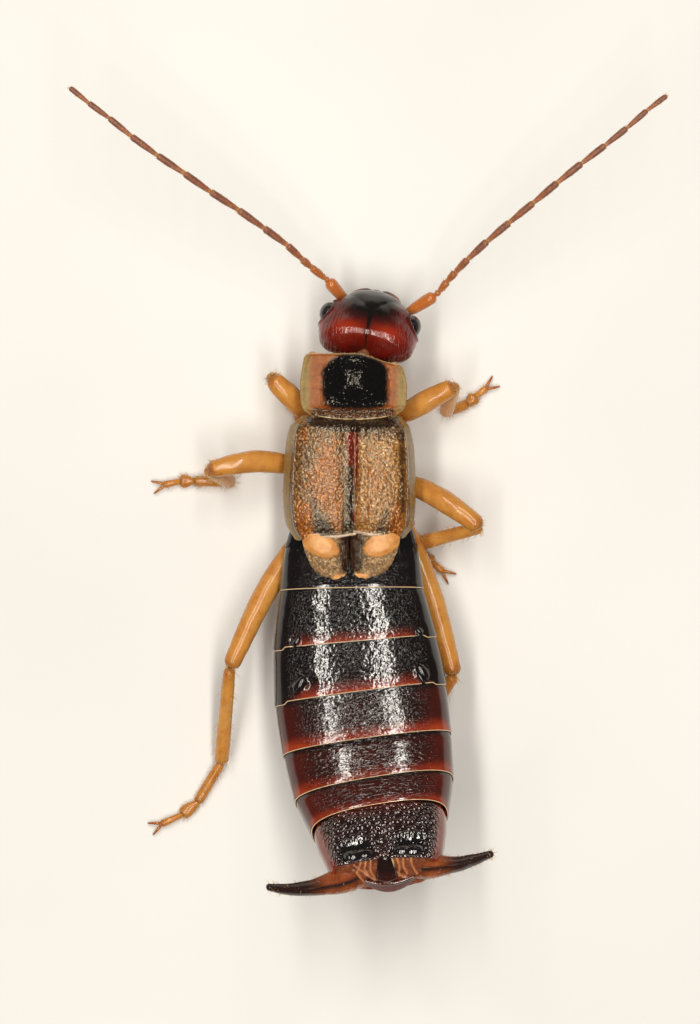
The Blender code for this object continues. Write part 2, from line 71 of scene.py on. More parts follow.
def mixed(a, b, share):
    """Part of the way from a to b."""
    return a + (b - a) * share


def step(value, low, high):
    """A smooth rise from 0 at low to 1 at high."""
    t = np.clip((value - low) / (high - low), 0, 1)
    return t * t * (3 - 2 * t)


def hump(value, middle, width):
    """A smooth hump of height 1 around a middle."""
    return np.exp(-((value - middle) / width) ** 2)


def smooth(x, knots, values):
    """Reads a table between its knots, on cubics that don't overshoot."""
    knots = np.asarray(knots, float)
    values = np.asarray(values, float)
    x = np.clip(np.asarray(x, float), knots[0], knots[-1])
    extra = (None,) * (values.ndim - 1)
    gap = np.diff(knots)
    slope = np.diff(values, axis=0) / gap[(...,) + extra]
    product = slope[:-1] * slope[1:]
    total = np.where(product > 0, slope[:-1] + slope[1:], 1.0)
    inner = np.where(product > 0, 2 * product / total, 0.0)
    tangent = np.concatenate([slope[:1], inner, slope[-1:]])
    i = np.clip(np.searchsorted(knots, x, side="right") - 1, 0, len(knots) - 2)
    h = gap[i][(...,) + extra]
    t = ((x - knots[i]) / gap[i])[(...,) + extra]
    return ((1 + 2 * t) * (1 - t) ** 2 * values[i] + t * t * (3 - 2 * t) * values[i + 1]
            + h * t * (1 - t) ** 2 * tangent[i] - h * t * t * (1 - t) * tangent[i + 1])


def route(points, shares):
    """Places at shares of the length of a curve through the points."""
    p = np.asarray(points, float)
    ends = np.vstack([2 * p[0] - p[1], p, 2 * p[-1] - p[-2]])
    fine = []
    t = np.linspace(0, 1, 24, endpoint=False)[:, None]
    for i in range(len(p) - 1):
        a, b, c, d = ends[i:i + 4]
        fine.append(0.5 * (2 * b + (c - a) * t + (2 * a - 5 * b + 4 * c - d) * t ** 2
                           + (3 * b - a - 3 * c + d) * t ** 3))
    fine = np.vstack(fine + [p[-1:]])
    length = np.concatenate([[0], np.cumsum(np.linalg.norm(np.diff(fine, axis=0), axis=1))])
    return np.stack([np.interp(np.asarray(shares) * length[-1], length, fine[:, k]) for k in range(3)], -1)


def length_of(points):
    """Length of a path."""
    return np.linalg.norm(np.diff(np.asarray(points, float), axis=0), axis=1).sum()


def eased(count):
    """Shares from 0 to 1, closer together near both ends."""
    return 0.5 - 0.5 * np.cos(np.pi * np.linspace(0, 1, count))


def wobble(places, size, seed):
    """A smooth random height from -1 to 1 over places, with waves of about this size."""
    draw = np.random.default_rng(seed)
    total = 0
    for _ in range(7):
        direction = unit(draw.normal(size=3)) * draw.uniform(0.7, 1.4) * math.tau / size
        total = total + np.sin(places @ direction + draw.uniform(0, math.tau))
    return total / 7 ** 0.5 / 1.6


def normals(grid):
    """Unit normals of an open grid of places."""
    return unit(np.cross(np.gradient(grid, axis=0), np.gradient(grid, axis=1)))


def facing(grid, middle):
    """Unit normals of a grid that point away from a place inside."""
    normal = normals(grid)
    if np.sum(normal * (grid - middle), axis=-1).mean() < 0:
        normal = -normal
    return normal


# Closed surfaces

def outward(form):
    """The same surface with its faces turned outward once it is in metres."""
    p = form.points
    triangles = [form.quads[:, [0, 1, 2]], form.quads[:, [0, 2, 3]], form.tris]
    faces = np.vstack([t for t in triangles if len(t)])
    volume = np.sum(p[faces[:, 0]] * np.cross(p[faces[:, 1]], p[faces[:, 2]]))
    if volume > 0:
        return form._replace(quads=form.quads[:, ::-1], tris=form.tris[:, ::-1])
    return form


def net(rows, cols, wrap):
    """Faces of a grid of points."""
    i = np.arange(rows - 1)[:, None]
    j = np.arange(cols if wrap else cols - 1)[None]
    k = (j + 1) % cols
    return vectors(i * cols + j, i * cols + k, (i + 1) * cols + k, (i + 1) * cols + j).reshape(-1, 4)


def spread_marks(marks, rows, cols):
    """Marks as one number or vector for each point of a grid."""
    result = {}
    for name, value in marks.items():
        value = np.asarray(value, float)
        if name == "flat":
            result[name] = np.broadcast_to(value, (rows, cols, 3)).reshape(-1, 3)
        else:
            result[name] = np.broadcast_to(value, (rows, cols)).reshape(-1)
    return result


def closed(grid, **marks):
    """A closed tube over a grid whose columns go round, with both ends fanned."""
    rows, cols = grid.shape[:2]
    marks = spread_marks(marks, rows, cols)
    points = np.vstack([grid.reshape(-1, 3), grid[0].mean(0), grid[-1].mean(0)])
    marks = {name: np.concatenate([value, value[:cols].mean(0)[None], value[-cols:].mean(0)[None]])
             for name, value in marks.items()}
    j = np.arange(cols)
    k = (j + 1) % cols
    last = (rows - 1) * cols
    first_fan = vectors(np.full(cols, rows * cols), k, j)
    last_fan = vectors(np.full(cols, rows * cols + 1), last + j, last + k)
    return outward(Form(points, net(rows, cols, True), np.vstack([first_fan, last_fan]), marks))


def plate(grid, thickness, inside, **marks):
    """A closed thin plate under an open grid of places, with rounded edges."""
    rows, cols = grid.shape[:2]
    marks = spread_marks(marks, rows, cols)
    normal = facing(grid, inside)
    thick = np.broadcast_to(np.asarray(thickness, float), (rows, cols))[..., None]
    edge = np.zeros_like(grid)
    edge[0] += unit(grid[0] - grid[1])
    edge[-1] += unit(grid[-1] - grid[-2])
    edge[:, 0] += unit(grid[:, 0] - grid[:, 1])
    edge[:, -1] += unit(grid[:, -1] - grid[:, -2])
    edge = unit(edge)
    loop = np.concatenate([np.arange(cols), np.arange(1, rows) * cols + cols - 1,
                           (rows - 1) * cols + np.arange(cols - 2, -1, -1), np.arange(rows - 2, 0, -1) * cols])
    flat = [value.reshape(-1, 3) for value in (grid, normal, edge)]
    half = thick.reshape(-1, 1)[loop] / 2
    rings = []
    for turn in (45, 90, 135):
        a = math.radians(turn)
        rings.append(flat[0][loop] - flat[1][loop] * half * (1 - math.cos(a)) + flat[2][loop] * half * math.sin(a))
    inner = (grid - normal * thick).reshape(-1, 3)
    points = np.vstack([flat[0]] + rings + [inner])
    total = rows * cols
    ids = [loop] + [total + len(loop) * n + np.arange(len(loop)) for n in range(3)]
    ids.append(total + 3 * len(loop) + loop)
    faces = [net(rows, cols, False), net(rows, cols, False)[:, ::-1] + total + 3 * len(loop)]
    for near, far in zip(ids, ids[1:]):
        faces.append(vectors(np.roll(near, -1), near, far, np.roll(far, -1)))
    marks = {name: np.concatenate([value, value[loop], value[loop], value[loop], value])
             for name, value in marks.items()}
    return outward(Form(points, np.vstack(faces), np.zeros((0, 3), int), marks))


def joined(forms):
    """Several surfaces as one, with marks that are missing set to 0."""
    names = {name for form in forms for name in form.marks}
    points, quads, tris = [], [], []
    marks = {name: [] for name in sorted(names)}
    start = 0
    for form in forms:
        points.append(form.points)
        quads.append(form.quads + start)
        tris.append(form.tris + start)
        for name in marks:
            blank = np.zeros((len(form.points), 3) if name == "flat" else len(form.points))
            marks[name].append(form.marks.get(name, blank))
        start += len(form.points)
    return Form(np.vstack(points), np.vstack(quads), np.vstack(tris),
                {name: np.concatenate(value) for name, value in marks.items()})


def metres(points):
    """Places of the scene from (right, back, up) in millimetres."""
    return points * np.array((-MM, MM, MM))


def piece(name, forms, material, slot, *nodes, smooth_angle=None):
    """One object of the model from closed surfaces, riding on the root and standing for these nodes."""
    form = joined(forms if isinstance(forms, list) else [forms])
    mesh = bpy.data.meshes.new(name)
    mesh.from_pydata(metres(form.points).tolist(), [], form.quads.tolist() + form.tris.tolist())
    for mark, value in form.marks.items():
        kind = "FLOAT_VECTOR" if mark == "flat" else "FLOAT"
        attribute = mesh.attributes.new(mark, kind, "POINT")
        attribute.data.foreach_set("vector" if mark == "flat" else "value", value.astype(np.float32).ravel())
    mesh.shade_smooth()
    if smooth_angle:
        mesh.set_sharp_from_angle(angle=math.radians(smooth_angle))
    mesh.materials.append(material)
    thing = bpy.data.objects.new(name, mesh)
    bpy.context.scene.collection.objects.link(thing)
    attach(thing, "root")
    if nodes:
        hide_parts(*nodes)
    return thing


def frames(path, hint=(0.0, 0.0, 1.0)):
    """Unit vectors along, aside and over at each place of a path, without twist."""
    along = unit(np.gradient(path, axis=0))
    aside = np.zeros_like(path)
    side = np.cross(along[0], hint)
    for i, direction in enumerate(along):
        side = side - direction * np.dot(side, direction)
        side = side / np.linalg.norm(side)
        aside[i] = side
    return along, aside, np.cross(aside, along)


def limb(path, wide, deep=None, sides=28, hint=(0.0, 0.0, 1.0), square=2.0):
    """A grid of places round a path, with half widths aside and over it."""
    wide = np.broadcast_to(np.asarray(wide, float), len(path))
    deep = wide if deep is None else np.broadcast_to(np.asarray(deep, float), len(path))
    along, aside, over = frames(path, hint)
    angle = np.linspace(0, math.tau, sides, endpoint=False)
    across = power(np.cos(angle), 2 / square)[None] * wide[:, None]
    raised = power(np.sin(angle), 2 / square)[None] * deep[:, None]
    return path[:, None] + aside[:, None] * across[..., None] + over[:, None] * raised[..., None]


def blunt(shares, length, start, end):
    """Factors that round both ends of a tube off over these lengths."""
    near = np.clip(shares * length / start, 0, 1)
    far = np.clip((1 - shares) * length / end, 0, 1)
    return np.sqrt(1 - (1 - near) ** 2) * np.sqrt(1 - (1 - far) ** 2)


# Materials

# How much more light an ink sends back than a shown colour, since the lights are soft
INK_SHARE = 1.9


def ink(red, green, blue):
    """A colour for a node, from the three values that a screen shows."""
    shares = [(c / 255 / 12.92) if c <= 10 else ((c / 255 + 0.055) / 1.055) ** 2.4 for c in (red, green, blue)]
    return tuple(min(share * INK_SHARE, 0.9) for share in shares) + (1.0,)


class Coat:
    """Builds the nodes of one procedural material. Sizes are in millimetres."""

    def __init__(self, name, **sockets):
        self.material = bpy.data.materials.new(name)
        self.material.use_nodes = True
        self.tree = self.material.node_tree
        self.surface = self.tree.nodes["Principled BSDF"]
        place = self.tree.nodes.new("ShaderNodeTexCoord").outputs["Object"]
        self.place = self.add("ShaderNodeVectorMath", {0: place, 1: (1 / MM,) * 3}, operation="MULTIPLY").outputs[0]
        self.set(**sockets)

    def add(self, kind, inputs, **settings):
        """A node with these inputs set or linked."""
        node = self.tree.nodes.new(kind)
        for key, value in settings.items():
            setattr(node, key, value)
        for key, value in inputs.items():
            if isinstance(value, bpy.types.NodeSocket):
                self.tree.links.new(value, node.inputs[key])
            elif value is not None:
                node.inputs[key].default_value = value
        return node

    def set(self, **sockets):
        """Sets or links sockets of the shader, named with low lines for spaces."""
        for key, value in sockets.items():
            socket = self.surface.inputs[key.replace("_", " ")]
            if isinstance(value, bpy.types.NodeSocket):
                self.tree.links.new(value, socket)
            else:
                socket.default_value = value
        return self

    def mark(self, name):
        """A number that the mesh carries."""
        return self.add("ShaderNodeAttribute", {}, attribute_name=name).outputs["Fac"]

    def flat(self, stretch=(1.0, 1.0, 1.0)):
        """Places on the unrolled surface, in millimetres across and along it."""
        source = self.add("ShaderNodeAttribute", {}, attribute_name="flat").outputs["Vector"]
        return self.add("ShaderNodeVectorMath", {0: source, 1: stretch}, operation="MULTIPLY").outputs[0]

    def noise(self, size, detail=2.0, rough=0.5, vector=None, distortion=0.0):
        """Cloudy values from 0 to 1 with features of about this size."""
        return self.add("ShaderNodeTexNoise", {"Vector": vector or self.place, "Scale": 1 / size, "Detail": detail,
                                               "Roughness": rough, "Distortion": distortion}).outputs[0]

    def cells(self, size, vector=None, feature="F1", randomness=1.0):
        """Distance from the nearest of scattered points, about this far apart."""
        return self.add("ShaderNodeTexVoronoi", {"Vector": vector or self.place, "Scale": 1 / size,
                                                 "Randomness": randomness}, feature=feature).outputs["Distance"]

    def math(self, kind, a, b=None, clamp=False):
        """One sum on numbers or outputs."""
        return self.add("ShaderNodeMath", {0: a, 1: b}, operation=kind, use_clamp=clamp).outputs[0]

    def span(self, value, low, high, start=0.0, end=1.0):
        """A value taken from one range smoothly into another."""
        return self.add("ShaderNodeMapRange", {"Value": value, "From Min": low, "From Max": high,
                                               "To Min": start, "To Max": end},
                        interpolation_type="SMOOTHSTEP").outputs["Result"]

    def ramp(self, value, *stops):
        """Colours along a value, as stops of place and colour."""
        node = self.add("ShaderNodeValToRGB", {"Fac": value})
        band = node.color_ramp
        band.elements[0].position, band.elements[1].position = stops[0][0], stops[-1][0]
        band.elements[0].color, band.elements[1].color = stops[0][1], stops[-1][1]
        for position, colour in stops[1:-1]:
            band.elements.new(position).color = colour
        return node.outputs["Color"]

    def blend(self, share, a, b, kind="MIX"):
        """Two colours mixed."""
        return self.add("ShaderNodeMix", {0: share, 6: a, 7: b}, data_type="RGBA", blend_type=kind).outputs[2]

    def bump(self, height, depth, normal=None, strength=1.0):
        """A normal from heights from 0 to 1 that are this deep."""
        return self.add("ShaderNodeBump", {"Height": height, "Distance": depth * MM, "Strength": strength,
                                           "Normal": normal}).outputs["Normal"]


GOLD_GLINT = (1.0, 0.86, 0.64, 1.0)


def plate_coat(name, gloss, depth, beaded=False, ior=1.68):
    """Chitin from black through dark red to bright red, with flat-topped grains and narrow valleys.

    It reads the marks red, grain, wrinkle and rim.
    """
    coat = Coat(name, IOR=ior)
    cloud = coat.noise(0.45, 3, 0.6)
    tone = coat.math("ADD", coat.mark("red"), coat.math("MULTIPLY", coat.math("SUBTRACT", cloud, 0.5), 0.2))
    colour = coat.ramp(tone, (0.0, ink(9, 8, 8)), (0.22, ink(24, 11, 9)), (0.45, ink(60, 17, 10)),
                       (0.7, ink(104, 32, 13)), (1.0, ink(150, 64, 27)))
    # rim: the pale edge of each plate's margin; on the small tail plate it is a painted highlight along its edges
    colour = coat.blend(coat.span(coat.mark("rim"), 0.4, 0.7), colour, ink(182, 158, 122))
    if beaded:
        away = coat.cells(0.095, randomness=0.8)
        height = coat.math("SUBTRACT", 1.0, coat.math("MULTIPLY", coat.math("MULTIPLY", away, away), 2.6), True)
    else:
        maze = coat.span(coat.noise(0.040, 1, 0.4, distortion=0.4), 0.38, 0.49)
        rows = coat.span(coat.noise(1.0, 1, 0.4, coat.flat((11.0, 20.0, 1.0)), 0.35), 0.37, 0.50)
        height = coat.add("ShaderNodeMix", {0: coat.mark("wrinkle"), 2: maze, 3: rows}, data_type="FLOAT").outputs[0]
    relief = coat.math("MULTIPLY", height, coat.mark("grain"))
    # painted shade: the grain's valleys are darkened toward black, as the shade that falls in them
    painted_valley_shade = coat.math("MULTIPLY", coat.math("SUBTRACT", 1.0, height), coat.mark("grain"), True)
    colour = coat.blend(coat.math("MULTIPLY", painted_valley_shade, 0.55), colour, ink(8, 6, 7))
    normal = coat.bump(relief, depth)
    broad = coat.math("MULTIPLY", coat.mark("grain"), coat.span(coat.mark("wrinkle"), 0.0, 1.0, 1.0, 0.35))
    normal = coat.bump(coat.math("MULTIPLY", coat.noise(0.09, 1), broad), 0.009, normal)
    rough = coat.math("ADD", coat.math("MULTIPLY", coat.noise(0.09, 2), 0.04), gloss - 0.02)
    if not beaded:
        rough = coat.math("ADD", rough, coat.span(coat.mark("grain"), 0.0, 0.3, 0.1, 0.0))
    return coat.set(Base_Color=colour, Roughness=rough, Normal=normal).material


def amber_coat(name, colours, soft=0.35, gloss=0.3):
    """Waxy translucent skin of the limbs: base, dark and pale colours, by the marks dark and pale."""
    base, dark, pale = colours
    coat = Coat(name, Subsurface_Weight=soft, Subsurface_Radius=(1.0, 0.35, 0.1), Subsurface_Scale=0.18 * MM,
                Coat_Weight=0.2, Coat_Roughness=0.08, IOR=1.42)
    mottle = coat.noise(0.3, 4, 0.6)
    colour = coat.blend(coat.span(mottle, 0.4, 0.7), base, tuple(c * k for c, k in zip(base, (0.82, 0.66, 0.5, 1))))
    veins = coat.span(coat.noise(0.07, 2, 0.6), 0.55, 0.75, 0.0, 0.3)
    colour = coat.blend(veins, colour, dark)
    colour = coat.blend(coat.math("MULTIPLY", coat.mark("dark"), coat.span(mottle, 0.15, 0.6, 0.6, 1.0)), colour, dark)
    colour = coat.blend(coat.mark("pale"), colour, pale)
    pits = coat.span(coat.cells(0.075), 0.0, 0.4)
    normal = coat.bump(pits, 0.0015)
    normal = coat.bump(coat.noise(0.12, 3), 0.005, normal)
    rough = coat.math("ADD", coat.math("MULTIPLY", coat.noise(0.1, 2), 0.16), gloss - 0.08)
    return coat.set(Base_Color=colour, Roughness=rough, Normal=normal).material


def head_coat():
    """Wine-red gloss with a black crown and a painted glow, by the marks black and pale."""
    coat = Coat("head_shell", IOR=1.62)
    cloud = coat.noise(0.35, 3, 0.55)
    red = coat.ramp(cloud, (0.3, ink(54, 8, 6)), (0.55, ink(70, 11, 7)), (0.75, ink(84, 17, 8)))
    # painted glow: the pale mark lightens the red around the lobes' highlight
    red = coat.blend(coat.math("MULTIPLY", coat.mark("pale"), 0.6), red, ink(140, 40, 16))
    edge = coat.math("ADD", coat.mark("black"), coat.math("MULTIPLY", coat.math("SUBTRACT", cloud, 0.5), 0.5))
    colour = coat.blend(coat.span(edge, 0.1, 0.95), red, ink(12, 9, 7))
    strokes = coat.span(coat.noise(1.0, 2, 0.5, coat.flat((26.0, 5.0, 1.0)), 0.4), 0.4, 0.6)
    normal = coat.bump(coat.math("MULTIPLY", strokes, coat.math("SUBTRACT", 1.0, coat.mark("black"), True)), 0.0036)
    normal = coat.bump(coat.noise(0.07, 2, 0.6), 0.0010, normal)
    rough = coat.math("ADD", coat.math("MULTIPLY", coat.noise(0.08, 2), 0.08), 0.14)
    return coat.set(Base_Color=colour, Roughness=rough, Normal=normal).material


def eye_coat():
    """Black faceted eyes."""
    coat = Coat("eye", Coat_Weight=0.8, Coat_Roughness=0.08, IOR=1.5)
    facets = coat.cells(0.026, randomness=0.15)
    colour = coat.ramp(facets, (0.25, ink(22, 12, 10)), (0.6, ink(7, 6, 7)))
    return coat.set(Base_Color=colour, Roughness=0.18,
                    Normal=coat.bump(coat.span(facets, 0.75, 0.1), 0.004)).material


def feeler_coat():
    """Brown feelers with pale joints and a fine down, by the marks dark and pale."""
    coat = Coat("feeler", IOR=1.55, Sheen_Weight=0.25, Sheen_Roughness=0.5,
                Subsurface_Weight=0.15, Subsurface_Radius=(1.0, 0.4, 0.2), Subsurface_Scale=0.1 * MM)
    cloud = coat.noise(0.12, 3, 0.6)
    colour = coat.ramp(cloud, (0.3, ink(92, 50, 31)), (0.6, ink(120, 69, 42)), (0.8, ink(142, 88, 54)))
    colour = coat.blend(coat.math("MULTIPLY", coat.mark("dark"), 0.45), colour, ink(66, 36, 25))
    colour = coat.blend(coat.mark("amber"), colour, ink(144, 80, 30))
    colour = coat.blend(coat.mark("pale"), colour, ink(172, 126, 76))
    normal = coat.bump(coat.noise(0.028, 2, 0.7), 0.003)
    rough = coat.math("ADD", coat.math("MULTIPLY", coat.noise(0.05, 2), 0.25), 0.3)
    rough = coat.math("SUBTRACT", rough, coat.math("MULTIPLY", coat.mark("amber"), 0.24))
    return coat.set(Base_Color=colour, Roughness=rough, Normal=normal).material


def shield_coat():
    """The shield behind the head: black disc, orange beside it, pale clear margins."""
    coat = Coat("shield", IOR=1.48, Specular_Tint=(1.0, 0.92, 0.78, 1.0), Subsurface_Weight=0.25,
                Subsurface_Radius=(1.0, 0.5, 0.15), Subsurface_Scale=0.15 * MM)
    cloud = coat.noise(0.22, 3, 0.6)
    grit = coat.noise(0.05, 2, 0.6)
    shift = coat.math("MULTIPLY", coat.math("SUBTRACT", cloud, 0.5), 0.6)
    shift = coat.math("ADD", shift, coat.math("MULTIPLY", coat.math("SUBTRACT", grit, 0.5), 0.6))
    pale = coat.ramp(cloud, (0.3, ink(96, 80, 44)), (0.7, ink(120, 102, 60)))
    orange = coat.ramp(coat.noise(0.12, 3, 0.6), (0.3, ink(98, 46, 11)), (0.7, ink(126, 67, 19)))
    colour = coat.blend(coat.span(coat.math("ADD", coat.mark("band"), shift), 0.1, 0.95), pale, orange)
    brown = coat.ramp(coat.noise(0.06, 2), (0.35, ink(34, 20, 13)), (0.7, ink(84, 54, 30)))
    colour = coat.blend(coat.span(coat.math("ADD", coat.mark("rear"), shift), 0.3, 0.7), colour, brown)
    colour = coat.blend(coat.span(coat.math("ADD", coat.mark("black"), shift), 0.15, 0.8), colour, ink(9, 8, 9))
    # rim: pale margins; the line along the rear edge is also a painted highlight
    colour = coat.blend(coat.mark("rim"), colour, ink(182, 156, 118))
    grain = coat.math("MULTIPLY", coat.span(coat.cells(0.06), 0.7, 0.0), coat.mark("grain"))
    normal = coat.bump(grain, 0.016)
    normal = coat.bump(coat.noise(0.05, 2), 0.004, normal)
    rough = coat.math("ADD", coat.math("MULTIPLY", grit, 0.1), 0.44)
    rough = coat.math("SUBTRACT", rough, coat.math("MULTIPLY", coat.mark("rear"), 0.3))
    rough = coat.math("SUBTRACT", rough, coat.math("MULTIPLY", coat.mark("black"), 0.36))
    return coat.set(Base_Color=colour, Roughness=rough, Normal=normal).material


def wing_case_coat():
    """Leathery cases, by the marks orange, gold, dark, seam, olive and ridge."""
    coat = Coat("wing_case", IOR=1.7, Specular_Tint=GOLD_GLINT, Subsurface_Weight=0.12, Subsurface_Radius=(1.0, 0.5, 0.2),
                Subsurface_Scale=0.12 * MM)
    cloud = coat.noise(0.14, 4, 0.65)
    shift = coat.math("MULTIPLY", coat.math("SUBTRACT", cloud, 0.5), 0.9)
    grit = coat.noise(0.045, 2, 0.6)
    shift = coat.math("ADD", shift, coat.math("MULTIPLY", coat.math("SUBTRACT", grit, 0.5), 0.5))
    base = coat.ramp(grit, (0.3, ink(48, 32, 20)), (0.5, ink(70, 48, 31)), (0.72, ink(100, 75, 50)))
    orange = coat.ramp(grit, (0.3, ink(84, 38, 10)), (0.5, ink(120, 64, 18)), (0.72, ink(154, 98, 36)))
    gold = coat.ramp(grit, (0.3, ink(80, 50, 20)), (0.5, ink(120, 80, 34)), (0.72, ink(158, 116, 60)))
    dark = coat.ramp(grit, (0.3, ink(14, 10, 8)), (0.55, ink(28, 19, 13)), (0.75, ink(56, 40, 29)))
    olive = coat.ramp(cloud, (0.3, ink(86, 64, 24)), (0.7, ink(116, 90, 40)))

    def masked(colour, name, other, low=0.2, high=0.8):
        """The colour, with another one where a mark is."""
        return coat.blend(coat.span(coat.math("ADD", coat.mark(name), shift), low, high), colour, other)

    colour = masked(base, "gold", gold)
    colour = masked(colour, "orange", orange)
    # the dark mark holds the pattern's dark patches and the painted shadow under the shield
    colour = masked(colour, "dark", dark)
    colour = masked(colour, "seam", ink(84, 18, 7))
    colour = masked(colour, "olive", olive)
    colour = masked(colour, "ridge", ink(58, 32, 18), 0.4, 0.8)
    pebbles = coat.span(coat.cells(0.068, randomness=0.9), 0.75, 0.0)
    folds = coat.noise(0.056, 1, 0.5, distortion=0.8)
    height = coat.math("ADD", coat.math("MULTIPLY", pebbles, 0.6), folds)
    # painted shade: the valleys between pebbles and folds are darkened
    painted_valley_shade = coat.math("MULTIPLY", coat.span(height, 0.85, 0.45), coat.mark("grain"))
    colour = coat.blend(coat.math("MULTIPLY", painted_valley_shade, 0.5), colour, ink(34, 16, 10))
    # line: a painted highlight along the rear edge
    colour = coat.blend(coat.mark("line"), colour, ink(160, 142, 122))
    normal = coat.bump(coat.math("MULTIPLY", height, coat.mark("grain")), 0.0145)
    normal = coat.bump(coat.noise(0.2, 2), 0.004, normal)
    rough = coat.math("ADD", coat.math("MULTIPLY", grit, 0.08), 0.05)
    rough = coat.math("ADD", rough, coat.math("MULTIPLY", coat.mark("olive"), 0.3))
    return coat.set(Base_Color=colour, Roughness=rough, Normal=normal).material


def wing_tip_coat():
    """Folded hind wing tips: a pale oval, wrinkled grey-brown behind it and an orange-tan rear rim painted brighter as
    a highlight.
    """
    coat = Coat("wing_tip", IOR=1.85, Specular_Tint=GOLD_GLINT, Subsurface_Weight=0.25, Subsurface_Radius=(1.0, 0.5, 0.2),
                Subsurface_Scale=0.15 * MM)
    cloud = coat.noise(0.12, 3, 0.6)
    shift = coat.math("MULTIPLY", coat.math("SUBTRACT", cloud, 0.5), 0.5)
    ragged = coat.math("MULTIPLY", coat.math("SUBTRACT", coat.noise(0.06, 3, 0.7), 0.5), 1.4)
    base = coat.ramp(coat.noise(0.05, 2, 0.6), (0.3, ink(70, 50, 32)), (0.7, ink(146, 114, 76)))
    pale = coat.ramp(cloud, (0.3, ink(150, 94, 42)), (0.7, ink(172, 122, 66)))
    colour = coat.blend(coat.span(coat.math("ADD", coat.mark("oval"), ragged), 0.34, 0.60), base, pale)
    # rim: orange-tan, partly its own colour and partly a painted highlight along the rear edge
    colour = coat.blend(coat.span(coat.math("ADD", coat.mark("rim"), shift), 0.25, 0.7), colour, ink(182, 126, 72))
    colour = coat.blend(coat.span(coat.math("ADD", coat.mark("dark"), shift), 0.2, 0.8), colour, ink(36, 18, 11))
    folds = coat.span(coat.noise(1.0, 2, 0.5, coat.flat((20.0, 20.0, 1.0)), 1.0), 0.35, 0.65)
    pebbles = coat.span(coat.cells(0.08), 0.75, 0.0)
    folds = coat.math("ADD", folds, coat.math("MULTIPLY", pebbles, 0.5))
    normal = coat.bump(coat.math("MULTIPLY", folds, coat.mark("grain")), 0.012)
    normal = coat.bump(coat.noise(0.1, 2), 0.003, normal)
    rough = coat.math("ADD", coat.math("MULTIPLY", coat.noise(0.05, 2), 0.08), 0.04)
    rough = coat.math("ADD", rough, coat.math("MULTIPLY", coat.mark("oval"), 0.3))
    return coat.set(Base_Color=colour, Roughness=rough, Normal=normal).material


def horn_coat():
    """Forceps: orange brown at the base, dark brown toward the tip, by the marks dark and groove."""
    coat = Coat("horn", Coat_Weight=0.4, Coat_Roughness=0.15, IOR=1.55, Subsurface_Weight=0.2,
                Subsurface_Radius=(1.0, 0.3, 0.1), Subsurface_Scale=0.15 * MM)
    cloud = coat.noise(0.25, 3, 0.6)
    colour = coat.ramp(cloud, (0.3, ink(90, 40, 16)), (0.55, ink(112, 55, 23)), (0.75, ink(132, 71, 32)))
    tone = coat.math("ADD", coat.mark("dark"), coat.math("MULTIPLY", coat.math("SUBTRACT", cloud, 0.5), 0.3))
    colour = coat.blend(coat.span(tone, 0.1, 0.85), colour, ink(30, 15, 11))
    # painted shade: the groove at the base is darkened
    colour = coat.blend(coat.mark("groove"), colour, ink(34, 15, 10))
    normal = coat.bump(coat.noise(0.06, 3, 0.6), 0.003)
    normal = coat.bump(coat.span(coat.cells(0.13), 0.0, 0.16), 0.004, normal)
    rough = coat.math("ADD", coat.math("MULTIPLY", coat.noise(0.1, 2), 0.2), 0.18)
    return coat.set(Base_Color=colour, Roughness=rough, Normal=normal).material


def membrane_coat():
    """Soft folded skin between the plates."""
    coat = Coat("membrane", IOR=1.45, Subsurface_Weight=0.5, Subsurface_Radius=(1.0, 0.5, 0.25),
                Subsurface_Scale=0.2 * MM, Coat_Weight=0.3, Coat_Roughness=0.25)
    cloud = coat.noise(0.14, 3, 0.6)
    colour = coat.ramp(cloud, (0.3, ink(104, 50, 24)), (0.55, ink(128, 70, 37)), (0.75, ink(152, 100, 62)))
    colour = coat.blend(coat.mark("dark"), colour, ink(58, 20, 9))
    colour = coat.blend(coat.math("MULTIPLY", coat.mark("pale"), 0.45), colour, ink(180, 130, 92))
    normal = coat.bump(coat.noise(0.08, 3, 0.6, distortion=0.5), 0.006)
    rough = coat.math("ADD", coat.math("MULTIPLY", coat.noise(0.07, 2), 0.3), 0.2)
    return coat.set(Base_Color=colour, Roughness=rough, Normal=normal).material


def hair_coat():
    """Pale golden bristles."""
    coat = Coat("hair", IOR=1.5, Subsurface_Weight=0.2, Subsurface_Radius=(1.0, 0.6, 0.3), Subsurface_Scale=0.05 * MM)
    colour = coat.ramp(coat.noise(0.2, 2), (0.3, ink(150, 104, 52)), (0.7, ink(183, 150, 98)))
    return coat.set(Base_Color=colour, Roughness=0.35).material


BLACK_SHELL = plate_coat("black_shell", 0.07, 0.0045)
RED_SHELL = plate_coat("red_shell", 0.07, 0.0045)
TAIL_SHELL = plate_coat("tail_shell", 0.08, 0.024, True, 1.9)
HEAD = head_coat()
EYE = eye_coat()
AMBER = amber_coat("amber_skin", (ink(154, 106, 46), ink(100, 52, 18), ink(180, 148, 92)), 0.5, 0.22)
TRUNK = amber_coat("trunk_skin", (ink(142, 82, 34), ink(76, 40, 20), ink(180, 140, 82)), 0.25)
MOUTH = amber_coat("mouth_skin", (ink(120, 60, 22), ink(28, 20, 11), ink(130, 100, 54)), 0.2)
FEELER = feeler_coat()
SHIELD = shield_coat()
WING_CASE = wing_case_coat()
WING_TIP = wing_tip_coat()
HORN = horn_coat()
MEMBRANE = membrane_coat()
HAIR = hair_coat()


# Abdomen, on the centre line of its rear margins: middle, heading, pitch, half width, rise and sag

def turned(heading, pitch):
    """Unit vectors sideways, rearward and upward of a body section turned by these degrees."""
    h, p = np.radians(heading), np.radians(pitch)
    rear = vectors(np.sin(h) * np.cos(p), np.cos(h) * np.cos(p), np.sin(p))
    top = vectors(-np.sin(h) * np.sin(p), -np.cos(h) * np.sin(p), np.cos(p))
    side = vectors(np.cos(h), -np.sin(h), 0 * h)
    return side, rear, top


